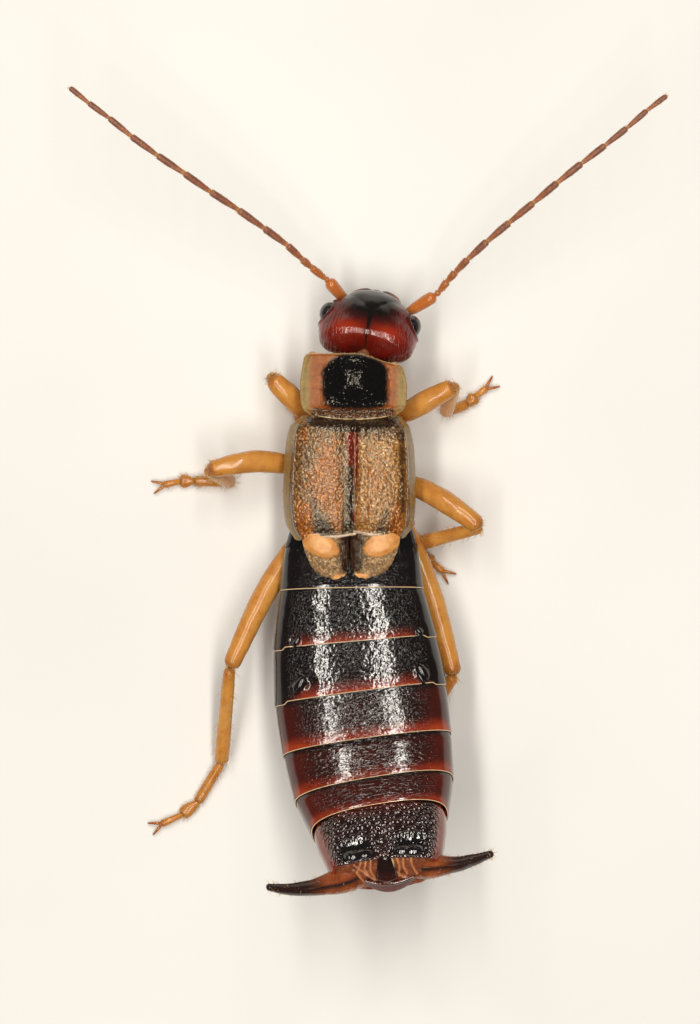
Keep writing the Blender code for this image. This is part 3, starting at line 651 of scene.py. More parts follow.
ABDOMEN_START = (-0.32, 0.32, 1.50)
MARGINS = ((0.0, 2, 0, 1.10, 0.36, 0.58), (0.82, 6, 0, 1.34, 0.42, 0.66), (0.86, 5, 1, 1.45, 0.66, 0.74),
           (1.03, 1, 5, 1.65, 0.75, 0.80), (1.06, 5, 7.5, 1.74, 0.79, 0.82), (1.06, 13, 8, 1.71, 0.79, 0.80),
           (0.97, 24, 9.5, 1.61, 0.76, 0.78), (0.77, 38, 9.5, 1.38, 0.70, 0.72), (1.24, 52, 5, 1.08, 0.34, 0.56))
PLATES = (1, 2, 3, 4, 5, 6, 7, 10)
BODY_SQUARE = 2.6


def body_line():
    """Middle, heading, pitch, half width, rise and sag at each margin, one row each."""
    middle = np.array(ABDOMEN_START)
    rows = []
    before = MARGINS[0]
    for margin in MARGINS:
        length, pitch, heading, half_width, rise, sag = margin
        middle = middle + turned((before[2] + heading) / 2, (before[1] + pitch) / 2)[1] * length
        rows.append([*middle, heading, pitch, half_width, rise, sag])
        before = margin
    return np.array(rows)


BODY = body_line()


def body(at, angle, scale=1.0):
    """Places on the abdomen, by the number of plates passed and the angle round it in degrees."""
    at, angle, scale = np.broadcast_arrays(np.asarray(at, float), np.radians(angle), scale)
    row = np.stack([np.interp(at, np.arange(len(BODY)), BODY[:, k]) for k in range(8)], -1)
    side, rear, top = turned(row[..., 3], row[..., 4])
    across = power(np.cos(angle), 2 / BODY_SQUARE) * row[..., 5]
    raised = power(np.sin(angle), 2 / BODY_SQUARE)
    raised = raised * np.where(raised > 0, row[..., 6], row[..., 7])
    return row[..., :3] + (side * across[..., None] + top * raised[..., None]) * scale[..., None]


REAR_ROWS = (0.925, 0.95, 0.968, 0.98, 0.99, 0.996, 1.0)
PLATE_KNOTS = (-0.14, 0.0, 0.15, 0.5, 0.9, 1.0)
PLATE_SCALES = (0.925, 0.962, 0.985, 0.996, 1.0, 1.0)
GLANDS = {3: ((-1.42, 3.03, 0.085), (1.04, 2.82, 0.08)), 4: ((-1.34, 3.88, 0.15), (1.09, 3.64, 0.15))}


def tergite(index, number):
    """One upper plate of the abdomen, tucked under the one in front."""
    share = np.concatenate([np.linspace(-0.14, 0.9, 32), REAR_ROWS])[:, None]
    low = -36 if number < 5 else -16
    angle = np.linspace(low, 180 - low, 150)[None]
    across = np.cos(np.radians(angle))
    scale = 1 - (1 - smooth(share, PLATE_KNOTS, PLATE_SCALES)) * (1 - 0.6 * across ** 2)
    upper = step(np.sin(np.radians(angle)), -0.2, 0.5)
    jog = 0.055 * step(np.abs(across), 0.80, 0.86) * step(share, 0.4, 1.0) * (number in (3, 4))
    grid = body(index + share + jog, angle, scale)
    inside = BODY[index, :3]
    normal = facing(grid, inside)
    lift = 0.004 * hump(share, 0.93, 0.05) - 0.004 * hump(share, 0.06, 0.06) * upper
    lift = lift + 0.003 * wobble(grid, 0.9, number) + 0.0012 * wobble(grid, 0.25, number + 20)
    glands = []
    for right, back, radius in GLANDS.get(number, ()):
        away = np.hypot(grid[..., 0] - right, (grid[..., 1] - back)) + 9 * (grid[..., 2] < BODY[index, 2])
        lift = lift - 0.03 * hump(away, radius * 1.3, radius * 0.5)
        near = np.unravel_index(np.argmin(away), away.shape)
        glands.append((grid[near], normal[near], radius))
    grid = grid + normal * lift[..., None]
    side = np.abs(across)
    late = step(share, 0.66, 0.96)
    middle = 1 - step(side, 0.55, 0.85)
    red = {1: 0.0, 2: 0.02 + 0.25 * step(share, 0.93, 1.0), 3: 0.04 + 0.50 * step(share, 0.66, 0.97) * middle,
           4: 0.06 + 0.54 * step(share, 0.58, 0.97) * middle, 5: 0.24 + 0.42 * late, 6: 0.28 + 0.32 * late,
           7: 0.32 + 0.28 * late}[number]
    red = red + (0 if number < 5 else 0.12) * step(side, 0.5, 0.8)
    red = red + (0.15 * step(share, 0.9, 1.0) if number in (3, 4) else 0)
    red = red * step(share, -0.1, 0.2) * mixed(1.0, 0.7, step(side, 0.93, 1.0)) + 0 * angle
    grain = {1: 0.1, 2: 0.4, 3: 0.8, 4: 0.85, 5: 0.85, 6: 0.9, 7: 0.8}[number] * upper * mixed(1.0, 0.5, step(share, 0.92, 0.98))
    grain = grain * mixed(1.0, 0.04, step(side, 0.72, 0.86)) + 0 * share
    wrinkle = {5: 0.5, 6: 0.9, 7: 1.0}.get(number, 0.0) + 0 * share * angle
    rim = step(share, 0.990, 0.999) * mixed(0.75, 1.0, step(side, 0.5, 0.9)) * (number > 1) + 0 * angle
    flat = vectors(np.radians(angle) * 1.2, index + share, 0.0)
    thickness = mixed(0.045, 0.016, step(share, 0.80, 0.99)) + 0 * angle
    forms = [plate(grid, thickness, inside, red=red, grain=grain, wrinkle=wrinkle, rim=rim, flat=flat)]
    for place, direction, radius in glands:
        forms += gland(place, direction, radius)
    return forms


def gland(place, direction, radius):
    """A polished knob with a small fold beside it, on the side of a plate."""
    outer = np.sign(place[0] + 0.1)
    ahead = unit(np.array((0.6 * outer, 0.8, 0.0)))
    ahead = unit(ahead - direction * np.dot(ahead, direction))
    aside = np.cross(direction, ahead)
    knob = ball(place + direction * radius * 0.05, (ahead * radius * 1.35, aside * radius * 0.75, direction * radius * 0.7),
                24, 30)
    fold = ball(place + aside * radius * 0.7 + ahead * radius * 0.6,
                (ahead * radius * 0.9, aside * radius * 0.35, direction * radius * 0.4), 16, 24)
    marks = {"red": 0.06, "grain": 0.35, "wrinkle": 0.0, "rim": 0.0, "flat": 0.0}
    return [closed(knob, **marks), closed(fold, **marks)]


def sternite(index, number):
    """One lower plate of the abdomen."""
    share = np.concatenate([np.linspace(-0.14, 0.9, 18), REAR_ROWS])[:, None]
    angle = np.linspace(186, 354, 80)[None]
    scale = smooth(share, PLATE_KNOTS, PLATE_SCALES) * 0.965
    grid = body(index + share, angle, scale)
    inside = BODY[index, :3]
    normal = facing(grid, inside)
    lift = 0.008 * wobble(grid, 0.9, number + 40) - 0.02 * hump(share, 0.08, 0.05)
    grid = grid + normal * lift[..., None]
    red = 0.42 + 0.2 * step(share, 0.5, 1.0) + 0.12 * step(np.abs(np.cos(np.radians(angle))), 0.5, 1)
    rim = step(share, 0.988, 0.999) * 0.9 + 0 * angle
    flat = vectors(np.radians(angle) * 1.2, index + share, 0.0)
    thickness = mixed(0.045, 0.02, step(share, 0.80, 0.99)) + 0 * angle
    return plate(grid, thickness, inside, red=red, grain=0.35, wrinkle=0.5, rim=rim, flat=flat)


def last_tergite():
    """The square last plate: grooves, hollows and paired knobs in front of the forceps."""
    share = np.concatenate([np.linspace(-0.1, 0.9, 58), (0.925, 0.95, 0.97, 0.985, 0.994, 1.0)])[:, None]
    angle = np.linspace(-30, 210, 190)[None]
    scale = smooth(share, (-0.1, 0, 0.12, 0.45, 0.8, 1.0), (0.91, 0.95, 0.985, 1.02, 1.02, 0.985))
    grid = body(7 + share, angle, scale)
    inside = BODY[7:, :3].mean(0)
    normal = facing(grid, inside)
    x = np.sign(np.cos(np.radians(angle))) * np.abs(np.cos(np.radians(angle))) ** (2 / BODY_SQUARE) + 0 * share
    upper = step(np.sin(np.radians(angle)), 0.0, 0.5)
    mirror = np.abs(x)
    lift = 0.004 * wobble(grid, 0.5, 9)
    lift = lift - 0.05 * hump(mirror, 0.0, 0.09) * step(share, 0.25, 0.75) * upper
    lift = lift - 0.03 * hump(mirror, 0.60, 0.05) * hump(share, 0.40, 0.25) * upper
    hollow = np.exp(-((mirror - 0.50) / 0.24) ** 4 - ((share - 0.80) / 0.15) ** 4) * upper
    lift = lift - 0.05 * hollow
    lift = lift + 0.04 * hump(mirror, 0.82, 0.08) * step(share, 0.3, 0.7) * upper
    lift = lift + 0.02 * hump(mirror, 0.0, 0.07) * hump(share, 0.96, 0.05) * upper
    grid = grid + normal * (lift * step(share, -0.05, 0.1))[..., None]
    red = 0.26 + 0.34 * step(mirror, 0.80, 0.93) - 0.30 * hollow
    red = red + 0.22 * (1 - step(share, 0.0, 0.3)) * (1 - step(mirror, 0.5, 0.8))
    red = red * mixed(1.0, 0.5, step(-np.sin(np.radians(angle)), 0.1, 0.5)) + 0.1 * step(share, 0.985, 1.0)
    grain = upper * (1 - 0.75 * np.clip(hollow * 1.2, 0, 1)) * mixed(1.0, 0.03, step(mirror, 0.88, 0.95))
    flat = vectors(np.radians(angle), share * 1.2, 0.0)
    forms = [plate(grid, 0.07, inside, red=red, grain=grain, wrinkle=0.25 * upper, rim=0.0, flat=flat)]
    side, rear, top = turned(BODY[-1, 3], BODY[-1, 4])
    for across, radius in ((-0.54, 0.17), (-0.30, 0.15), (0.27, 0.15), (0.52, 0.17)):
        angle = 90 - math.degrees(math.asin(across / 1.08)) * 0.92
        place = body(7.91, angle, 0.99)
        axes = (rear * radius * 0.95, side * radius * 1.2, top * radius * 0.6)
        forms.append(closed(ball(place, axes, 22, 30), red=0.05, grain=0.3, wrinkle=0.0, rim=0.0, flat=0.0))
    return forms


def body_core():
    """Soft body under the plates, which closes every gap between them."""
    at = np.concatenate([np.linspace(0.02, 7.2, 90), np.linspace(7.25, 7.93, 14)])
    angle = np.linspace(0, 360, 72, endpoint=False)
    scale = 0.88 + 0.012 * np.sin(at * math.tau) - 0.05 * step(at, 6.8, 7.9)
    grid = body(at[:, None], angle[None], scale[:, None])
    dark = np.where(np.sin(np.radians(angle)) > -0.1, 0.95, 0.4)[None]
    return closed(grid, dark=dark)


def build_abdomen():
    for index, number in enumerate(PLATES[:-1]):
        material, slot = (BLACK_SHELL, "black_shell") if number < 4 else (RED_SHELL, "red_shell")
        piece(f"tergite_{number}", tergite(index, number), material, slot, f"abdomen_{number}")
        piece(f"sternite_{number}", sternite(index, number), RED_SHELL, "red_shell")
    piece("tergite_10", last_tergite(), TAIL_SHELL, "red_shell", "abdomen_10")
    share = np.concatenate([np.linspace(-0.1, 0.86, 20), (0.9, 0.93, 0.95, 0.97)])[:, None]
    angle = np.linspace(196, 344, 70)[None]
    grid = body(7 + share * mixed(0.98, 0.86, np.abs(np.cos(np.radians(angle))) ** 2), angle,
                smooth(share, (-0.1, 0.0, 0.3, 0.97), (0.9, 0.94, 0.98, 0.99)))
    flat = vectors(np.radians(angle) + 0 * share, share + 0 * angle, 0 * share * angle)
    piece("sternite_last", plate(grid, 0.06, BODY[7, :3], red=0.45 + 0.2 * share + 0 * angle, grain=0.4,
                                 wrinkle=0.4, rim=0.0, flat=flat), RED_SHELL, "red_shell")
    piece("body_core", body_core(), MEMBRANE, "membrane")


# Tail: the small plate between the forceps, soft folds beside it, the lower rim and the forceps

FORCEPS = {
    "right": ((0.66, 7.42, 2.96), (0.95, 7.46, 3.06), (1.30, 7.48, 3.32), (1.76, 7.44, 3.62), (2.14, 7.33, 3.96),
              (2.48, 7.20, 4.26)),
    "left": ((0.06, 7.52, 2.96), (-0.16, 7.62, 3.06), (-0.60, 7.79, 3.32), (-1.10, 7.90, 3.62), (-1.58, 7.92, 3.96),
             (-2.00, 7.86, 4.26)),
}


def forceps_arm(points, side):
    """One arm of the forceps, broad and grooved at the base, toothed on its inner edge."""
    share = np.concatenate([eased(60) * 0.94, np.linspace(0.95, 1.0, 8)])
    path = route(points, share)
    length = length_of(path)
    round_off = blunt(share, length, 0.12, 0.05)
    wide = smooth(share, (0, 0.14, 0.3, 0.5, 0.75, 1.0), (0.24, 0.29, 0.27, 0.18, 0.125, 0.07)) * round_off
    deep = smooth(share, (0, 0.14, 0.3, 0.5, 0.75, 1.0), (0.26, 0.28, 0.23, 0.16, 0.12, 0.06)) * round_off
    sides = 48
    grid = limb(path, wide, deep, sides, hint=(0.0, -0.6, 0.8), square=2.2)
    angle = np.linspace(0, 360, sides, endpoint=False)[None]
    middle = path[:, None]
    outward_way = unit(grid - middle)
    rear = (90 + 55) if side == "right" else (90 - 55)
    groove = hump((angle - rear + 180) % 360 - 180, 0, 16) * step(share, 0.1, 0.22)[:, None]
    groove = groove * (1 - step(share, 0.45, 0.85))[:, None]
    inner = 180 if side == "right" else 0
    teeth = hump((angle - inner + 180) % 360 - 180, 0, 22) * np.clip(np.sin(share * 95), 0, 1)[:, None]
    teeth = teeth * (step(share, 0.08, 0.16) * (1 - step(share, 0.42, 0.55)))[:, None]
    grid = grid + outward_way * (0.03 * teeth - 0.06 * groove + 0.006 * wobble(grid, 0.4, 3))[..., None]
    dark = step(share, 0.24, 0.80)[:, None] + 0 * angle
    # the groove mark paints shade into the groove at the base
    return grid, closed(grid, dark=dark, groove=np.clip(groove * 1.1, 0, 1))


def tail_places(across, along, raised):
    """Places measured from the middle of the last margin: aside, rearward out of it, and toward its top."""
    frame_axes = np.stack(turned(BODY[-1, 3], BODY[-1, 4]))
    return BODY[-1, :3] + vectors(across, along, raised) @ frame_axes


def tail_place(across, along, raised):
    """One such place."""
    return tail_places(float(across), float(along), float(raised))


# Creases of the soft skin between the forceps, as places aside and toward the top
TAIL_FOLDS = (
    ((-0.62, 0.16), (-0.42, -0.04), (-0.18, -0.32)), ((-0.28, 0.26), (-0.30, 0.02), (-0.22, -0.24)),
    ((-0.48, 0.22), (-0.58, -0.04), (-0.44, -0.30)), ((-0.38, 0.24), (-0.42, 0.06), (-0.32, -0.14)),
    ((0.24, 0.28), (0.28, 0.05), (0.26, -0.20)), ((0.37, 0.26), (0.36, 0.06), (0.42, -0.16)),
    ((0.22, -0.10), (0.34, -0.24), (0.56, -0.30)), ((0.52, 0.24), (0.54, 0.02), (0.62, -0.18)),
)


def build_tail():
    grids = {}
    for side, points in FORCEPS.items():
        grids[side], form = forceps_arm(points, side)
        piece(f"forceps_arm_{side}", form, HORN, "horn", f"forceps_{side}")
    v = np.linspace(0, 1, 34)[:, None]
    u = np.linspace(-1, 1, 40)[None]
    width = smooth(v, (0, 0.2, 0.7, 0.92, 1), (0.12, 0.145, 0.18, 0.19, 0.15))
    along = 0.04 + 0.09 * np.sin(v * 2.4) - 0.05 * u ** 2 + 0.02 * hump(v, 0.9, 0.08)
    grid = tail_places(0.015 + u * width, along, 0.30 - 0.56 * v * (1 - 0.06 * u ** 2))
    # the rim mark on this plate is a painted highlight: a pale line along its right and lower edges
    piece("pygidium_plate", plate(grid, 0.09, tail_place(0, -0.4, 0), red=0.14 + 0.2 * v + 0 * u, grain=0.2,
                                  wrinkle=0.2, rim=0.8 * step(v, 0.93, 0.97) + 0.8 * step(u, 0.86, 0.94) * (1 - v),
                                  flat=vectors(u * 0.2, v * 0.5, 0.0)), BLACK_SHELL, "black_shell", "pygidium")
    share = np.linspace(0.02, 1.0, 64)[:, None]
    angle = np.linspace(0, 360, 200, endpoint=False)[None]
    side, rear, top = turned(BODY[-1, 3], BODY[-1, 4])
    skin = body(7.97, angle + 0 * share, 0.955 * share)
    across, raised = (skin - BODY[-1, :3]) @ side, (skin - BODY[-1, :3]) @ top
    fold = 0
    for points in TAIL_FOLDS:
        for a, b in zip(points, points[1:]):
            fold = np.maximum(fold, hump(segment_distance(across, raised, a, b), 0, 0.032))
    lift = 0.03 - 0.05 * share ** 2 + 0.045 * fold + 0.02 * wobble(skin, 0.22, 8) + 0.008 * wobble(skin, 0.09, 9)
    skin = skin + lift[..., None] * rear
    dark = np.clip(0.5 - 0.4 * fold, 0, 1)
    piece("tail_skin", closed(np.concatenate([skin, skin[::-1] - rear * 0.1]), dark=np.concatenate([dark, dark[::-1]]),
                              pale=np.concatenate([fold, fold[::-1]]) ** 3), MEMBRANE, "membrane")
    v = np.linspace(0, 1, 20)[:, None]
    u = np.linspace(-1, 1, 44)[None]
    grid = tail_places(0.06 + 0.50 * u, 0.10 - 0.04 * v - 0.10 * u ** 2 + 0.02 * hump(v, 0.1, 0.1),
                       -0.29 - 0.25 * v * (1 - 0.5 * u ** 2) + 0.05 * u ** 2)
    piece("tail_rim", plate(grid, 0.08, tail_place(0, -0.4, 0), red=0.42 + 0.1 * v + 0 * u, grain=0.3, wrinkle=0.3,
                            rim=0.0, flat=vectors(u * 0.5, v * 0.3, 0.0)), RED_SHELL, "red_shell")
    return grids


# Head

HEAD_MIDDLE = np.array((0.03, -3.25, 1.38))
HEAD_YAW, HEAD_PITCH, HEAD_ROLL = 11, 34, 3
HEAD_REAR = 0.60
HEAD_KNOTS = (-0.60, -0.53, -0.38, -0.11, 0.20, 0.48, 0.68, 0.80)
HEAD_SIZES = ((0.60, 0.39, 0.24), (0.82, 0.515, 0.34), (0.95, 0.555, 0.43), (1.00, 0.55, 0.48), (0.94, 0.53, 0.48),
              (0.76, 0.47, 0.44), (0.55, 0.35, 0.37), (0.38, 0.22, 0.28))
EYE_PLACE = (0.145, 0.84, 0.11)
EYE_RADII = (0.235, 0.195, 0.21)


def head_axes():
    """Unit vectors forward, left and up of the head as it is held."""
    yaw, pitch, roll = (math.radians(a) for a in (HEAD_YAW, HEAD_PITCH, HEAD_ROLL))
    ahead = np.array((math.sin(yaw), -math.cos(yaw), 0.0))
    left = np.array((-math.cos(yaw), -math.sin(yaw), 0.0))
    up = np.array((0.0, 0.0, 1.0))
    forward = ahead * math.cos(pitch) - up * math.sin(pitch)
    raised = up * math.cos(pitch) + ahead * math.sin(pitch)
    return np.stack([forward, left * math.cos(roll) - raised * math.sin(roll),
                     raised * math.cos(roll) + left * math.sin(roll)])


HEAD_AXES = head_axes()


def on_head(place):
    """Places from millimetres forward, left and up of the head's middle."""
    return HEAD_MIDDLE + np.asarray(place, float) @ HEAD_AXES


def segment_distance(x, y, a, b):
    """Distance of places on a plane from a line between two points."""
    ax, ay, bx, by = *a, *b
    length = (bx - ax) ** 2 + (by - ay) ** 2
    t = np.clip(((x - ax) * (bx - ax) + (y - ay) * (by - ay)) / length, 0, 1)
    return np.hypot(x - ax - t * (bx - ax), y - ay - t * (by - ay))


def skull():
    """The head capsule in its own directions, with lobes, sutures and eye sockets."""
    f = -HEAD_REAR + (HEAD_REAR + 0.80) * eased(84)
    sizes = smooth(f, HEAD_KNOTS, HEAD_SIZES)
    angle = np.radians(np.linspace(0, 360, 144, endpoint=False))[None]
    first = [(0.0, 0.05), (0.35, 0.045), (0.65, 0.034), (0.86, 0.02)]
    last = [(0.86, 0.02), (0.65, 0.034), (0.35, 0.045), (0.0, 0.05)]
    f = np.concatenate([[-HEAD_REAR - d for _, d in first], f, [0.80 + d for _, d in last]])
    shrink = np.concatenate([[k for k, _ in first], np.ones(84), [k for k, _ in last]])
    sizes = np.vstack([np.repeat(sizes[:1], 4, 0), sizes, np.repeat(sizes[-1:], 4, 0)]) * shrink[:, None]
    left = power(np.cos(angle), 2 / 2.3) * sizes[:, :1]
    over = power(np.sin(angle), 2 / 2.3)
    up = over * np.where(over > 0, sizes[:, 1:2], sizes[:, 2:3])
    share = left / np.maximum(sizes[:, :1], 0.05)
    ahead = f[:, None] - np.maximum(0, -f[:, None] / HEAD_REAR) ** 2 * 0.08 * (2 * share ** 2 - 1)
    grid = vectors(ahead, left, up)
    normal = facing(grid, np.zeros(3))
    upper = step(up, 0.0, 0.15)
    mirror = np.abs(left)
    suture = hump(mirror, 0, 0.016) * step(ahead, -0.9, -0.5) * (1 - step(ahead, 0.02, 0.12)) * upper
    fork = hump(segment_distance(ahead, mirror, (0.08, 0.0), (0.50, 0.42)), 0, 0.018) * upper
    lift = -0.018 * suture - 0.008 * fork
    lift = lift + 0.035 * np.exp(-((ahead + 0.38) / 0.30) ** 2 - ((mirror - 0.50) / 0.30) ** 2) * upper
    lift = lift - 0.012 * np.exp(-((ahead - 0.30) / 0.14) ** 2 - ((mirror - 0.26) / 0.13) ** 2) * upper
    away = np.hypot((ahead - EYE_PLACE[0]) / EYE_RADII[0], (up - EYE_PLACE[2]) / EYE_RADII[2])
    beside = step(mirror, 0.55, 0.8)
    lift = lift + 0.028 * hump(away, 1.16, 0.13) * beside - 0.03 * (1 - step(away, 0.8, 1.0)) * beside
    socket = np.hypot((ahead - 0.52), (mirror - 0.52))
    lift = lift - 0.04 * hump(socket, 0.0, 0.13) * step(up, -0.2, 0.1)
    lift = lift + 0.004 * wobble(grid, 0.3, 77)
    grid = grid + normal * lift[..., None]
    grid[..., 2] -= 0.022 * hump(mirror, 0, 0.22) * (1 - step(ahead, -0.65, -0.15)) * upper
    crown = np.exp(-(np.minimum(ahead - 0.52, 0) / 0.76) ** 4 - (mirror / 0.60) ** 4) * step(up, -0.2, 0.1)
    black = np.clip(crown + 0.7 * suture + 0.4 * fork + 0.75 * hump(away, 1.1, 0.18) * beside, 0, 1)
    black = np.clip(black + 0.7 * step(ahead, 0.45, 0.70) * step(up, -0.3, 0.0), 0, 1)
    black = np.clip(black + 0.45 * (1 - step(up, -0.45, -0.1)), 0, 1)
    # pale: a painted glow of lighter red behind the crown, around the lobes' highlight; and a lighter strip along the
    # outer rear edges
    pale = np.exp(-((ahead + 0.36) / 0.16) ** 2 - ((mirror - 0.42) / 0.34) ** 2) * step(up, 0.0, 0.3)
    pale = np.maximum(pale, 0.9 * step(mirror, 0.86, 1.0) * (1 - step(ahead, -0.3, 0.0)) * step(up, -0.15, 0.1))
    flat = vectors(left * 1.0, ahead, 0 * up)
    return closed(on_head(grid), black=black, pale=pale, flat=flat)


def ball(middle, axes, rows=40, sides=56, bulge=2.0):
    """An ellipsoid on three half axes."""
    turn = np.linspace(0.02, math.pi - 0.02, rows)[:, None]
    angle = np.linspace(0, math.tau, sides, endpoint=False)[None]
    ahead, side, top = axes
    ring = np.sin(turn) ** (2 / bulge)
    return (middle - np.cos(turn)[..., None] * ahead + (ring * np.cos(angle))[..., None] * side
            + (ring * np.sin(angle))[..., None] * top)


def collar(middle, direction, radius, thick, hint=(0.0, 0.0, 1.0)):
    """A ring round a direction."""
    direction = unit(np.asarray(direction, float))
    side = unit(np.cross(direction, hint))
    over = np.cross(side, direction)
    turn = np.linspace(0, math.tau, 49)[:-1]
    around = side * np.cos(turn)[:, None] + over * np.sin(turn)[:, None]
    angle = np.linspace(0, math.tau, 16, endpoint=False)
    grid = (middle + around[:, None] * (radius + thick * np.cos(angle))[None, :, None]
            + direction * (thick * np.sin(angle))[None, :, None])
    rows, cols = grid.shape[:2]
    points = grid.reshape(-1, 3)
    i = np.arange(rows)[:, None]
    j = np.arange(cols)[None]
    n, k = (i + 1) % rows, (j + 1) % cols
    quads = vectors(i * cols + j, i * cols + k, n * cols + k, n * cols + j).reshape(-1, 4)
    return outward(Form(points, quads, np.zeros((0, 3), int), {"dark": np.full(len(points), 0.6)}))


MANDIBLE = ((0.50, 0.34, -0.26), (0.72, 0.37, -0.30), (0.95, 0.36, -0.33), (1.10, 0.22, -0.33), (1.16, 0.08, -0.32))
PALP = ((0.34, 0.50, -0.46), (0.52, 0.66, -0.49), (0.72, 0.68, -0.50), (0.86, 0.60, -0.48), (0.96, 0.50, -0.45),
        (1.02, 0.38, -0.42))


def beads(points, radii, sides=18, rows=14, pinch=0.72, **marks):
    """A row of joints along the points, each narrow at its base and rounded at its end."""
    forms = []
    for a, b, r in zip(points, points[1:], radii):
        share = eased(rows)
        path = np.asarray(a) + (np.asarray(b) - np.asarray(a)) * (share[:, None] * 1.06 - 0.03)
        wide = r * smooth(share, (0, 0.25, 0.7, 1.0), (pinch, 0.88, 1.0, 0.86))
        wide = wide * blunt(share, length_of(path), r * 0.5, r * 0.6)
        pale = hump(share, 0.0, 0.10)[:, None] + 0 * np.zeros((1, sides))
        forms.append(closed(limb(path, wide, None, sides), pale=pale, **marks))
    return forms


def build_head():
    piece("head_capsule", skull(), HEAD, "head_shell", "head")
    forward, left, up = HEAD_AXES
    for name, side in (("left", 1), ("right", -1)):
        middle = on_head((EYE_PLACE[0], EYE_PLACE[1] * side, EYE_PLACE[2]))
        grid = ball(middle, (forward * EYE_RADII[0], left * EYE_RADII[1] * side, up * EYE_RADII[2]))
        piece(f"compound_eye_{name}", closed(grid), EYE, "eye", f"eye_{name}")
    share = np.linspace(0, 1, 26)[:, None]
    u = np.linspace(-1, 1, 44)[None]
    lip = vectors(0.76 + 0.29 * share * (1 - 0.22 * u ** 2), 0.30 * u * (1 - 0.22 * share ** 4),
                    0.11 - 0.20 * share - 0.10 * u ** 2 + 0.02 * hump(share, 0.6, 0.2))
    piece("labrum_plate", plate(on_head(lip), 0.07, on_head((0.5, 0, -0.2)), dark=0.85 + 0 * share * u,
                                pale=0.3 * step(share, 0.85, 1) + 0 * u), MOUTH, "amber_skin", "labrum")
    share = np.linspace(0, 1, 20)[:, None]
    face = vectors(0.60 + 0.28 * share, 0.36 * u * (1 - 0.1 * share), 0.36 - 0.24 * share - 0.10 * u ** 2 * (1 + share))
    piece("clypeus", plate(on_head(face), 0.06, on_head((0.3, 0, -0.2)), dark=0.7 + 0 * share * u, pale=0.0),
          MOUTH, "amber_skin")
    for name, side in (("left", 1), ("right", -1)):
        flip = np.array((1, side, 1))
        share = eased(34)
        path = route(on_head(np.array(MANDIBLE) * flip), share)
        thick = smooth(share, (0, 0.3, 0.6, 0.85, 1), (0.17, 0.19, 0.16, 0.10, 0.03)) * blunt(share, 0.9, 0.1, 0.03)
        grid = limb(path, thick, thick * 0.8, 30)
        piece(f"jaw_{name}", closed(grid, dark=step(share, 0.5, 0.9)[:, None], pale=0.0), MOUTH, "horn",
              f"mandible_{name}")
        palp = beads(on_head(np.array(PALP) * flip), (0.10, 0.10, 0.11, 0.10, 0.09), dark=0.1)
        inner = on_head(np.array(((0.62, 0.16, -0.46), (0.76, 0.20, -0.50), (0.90, 0.20, -0.48), (1.02, 0.16, -0.42)))
                        * flip)
        palp += beads(inner, (0.07, 0.07, 0.065), dark=0.1)
        share = eased(30)
        path = route(on_head(np.array(((0.20, 0.40, -0.34), (0.50, 0.46, -0.42), (0.80, 0.34, -0.44))) * flip), share)
        grid = limb(path, smooth(share, (0, 0.5, 1), (0.17, 0.16, 0.07)) * blunt(share, 0.7, 0.1, 0.06), None, 24)
        palp.append(closed(grid, dark=0.3, pale=0.0))
        piece(f"mouth_palps_{name}", palp, MOUTH, "amber_skin", f"palp_{name}")
    share = eased(24)
    path = route(on_head(((0.25, 0, -0.38), (0.55, 0, -0.44), (0.86, 0, -0.44))), share)
    grid = limb(path, 0.24 * blunt(share, 0.6, 0.12, 0.12), 0.10 * blunt(share, 0.6, 0.12, 0.12), 30, up)
    piece("lower_lip", closed(grid, dark=0.25, pale=0.0), MOUTH, "amber_skin")


# Feelers: where each joint ends, to the right and back, with the height along the way

FEELERS = {
    "left": (((-0.40, -3.78, 0.80), (-0.79, -4.23, 1.22)),
             ((-0.85, -4.27), (-1.13, -4.49), (-1.31, -4.65), (-1.61, -4.93), (-2.08, -5.27), (-2.59, -5.63),
              (-3.15, -5.99), (-3.67, -6.35), (-4.21, -6.71), (-4.73, -7.09), (-5.17, -7.45), (-5.58, -7.75),
              (-5.95, -8.05)),
             ((-5.95, -3.67, -1.61, -0.80), (2.72, 2.28, 1.62, 1.22))),
    "right": (((0.76, -3.56, 1.02), (1.37, -3.93, 1.30)),
              ((1.45, -4.01), (1.61, -4.21), (1.77, -4.39), (2.02, -4.65), (2.41, -5.01), (2.85, -5.38),
               (3.33, -5.77), (3.81, -6.17), (4.29, -6.55), (4.76, -6.91), (5.19, -7.25), (5.59, -7.60),
               (5.98, -7.89)),
              ((1.37, 2.02, 3.81, 5.98), (1.30, 1.66, 2.28, 2.72))),
}


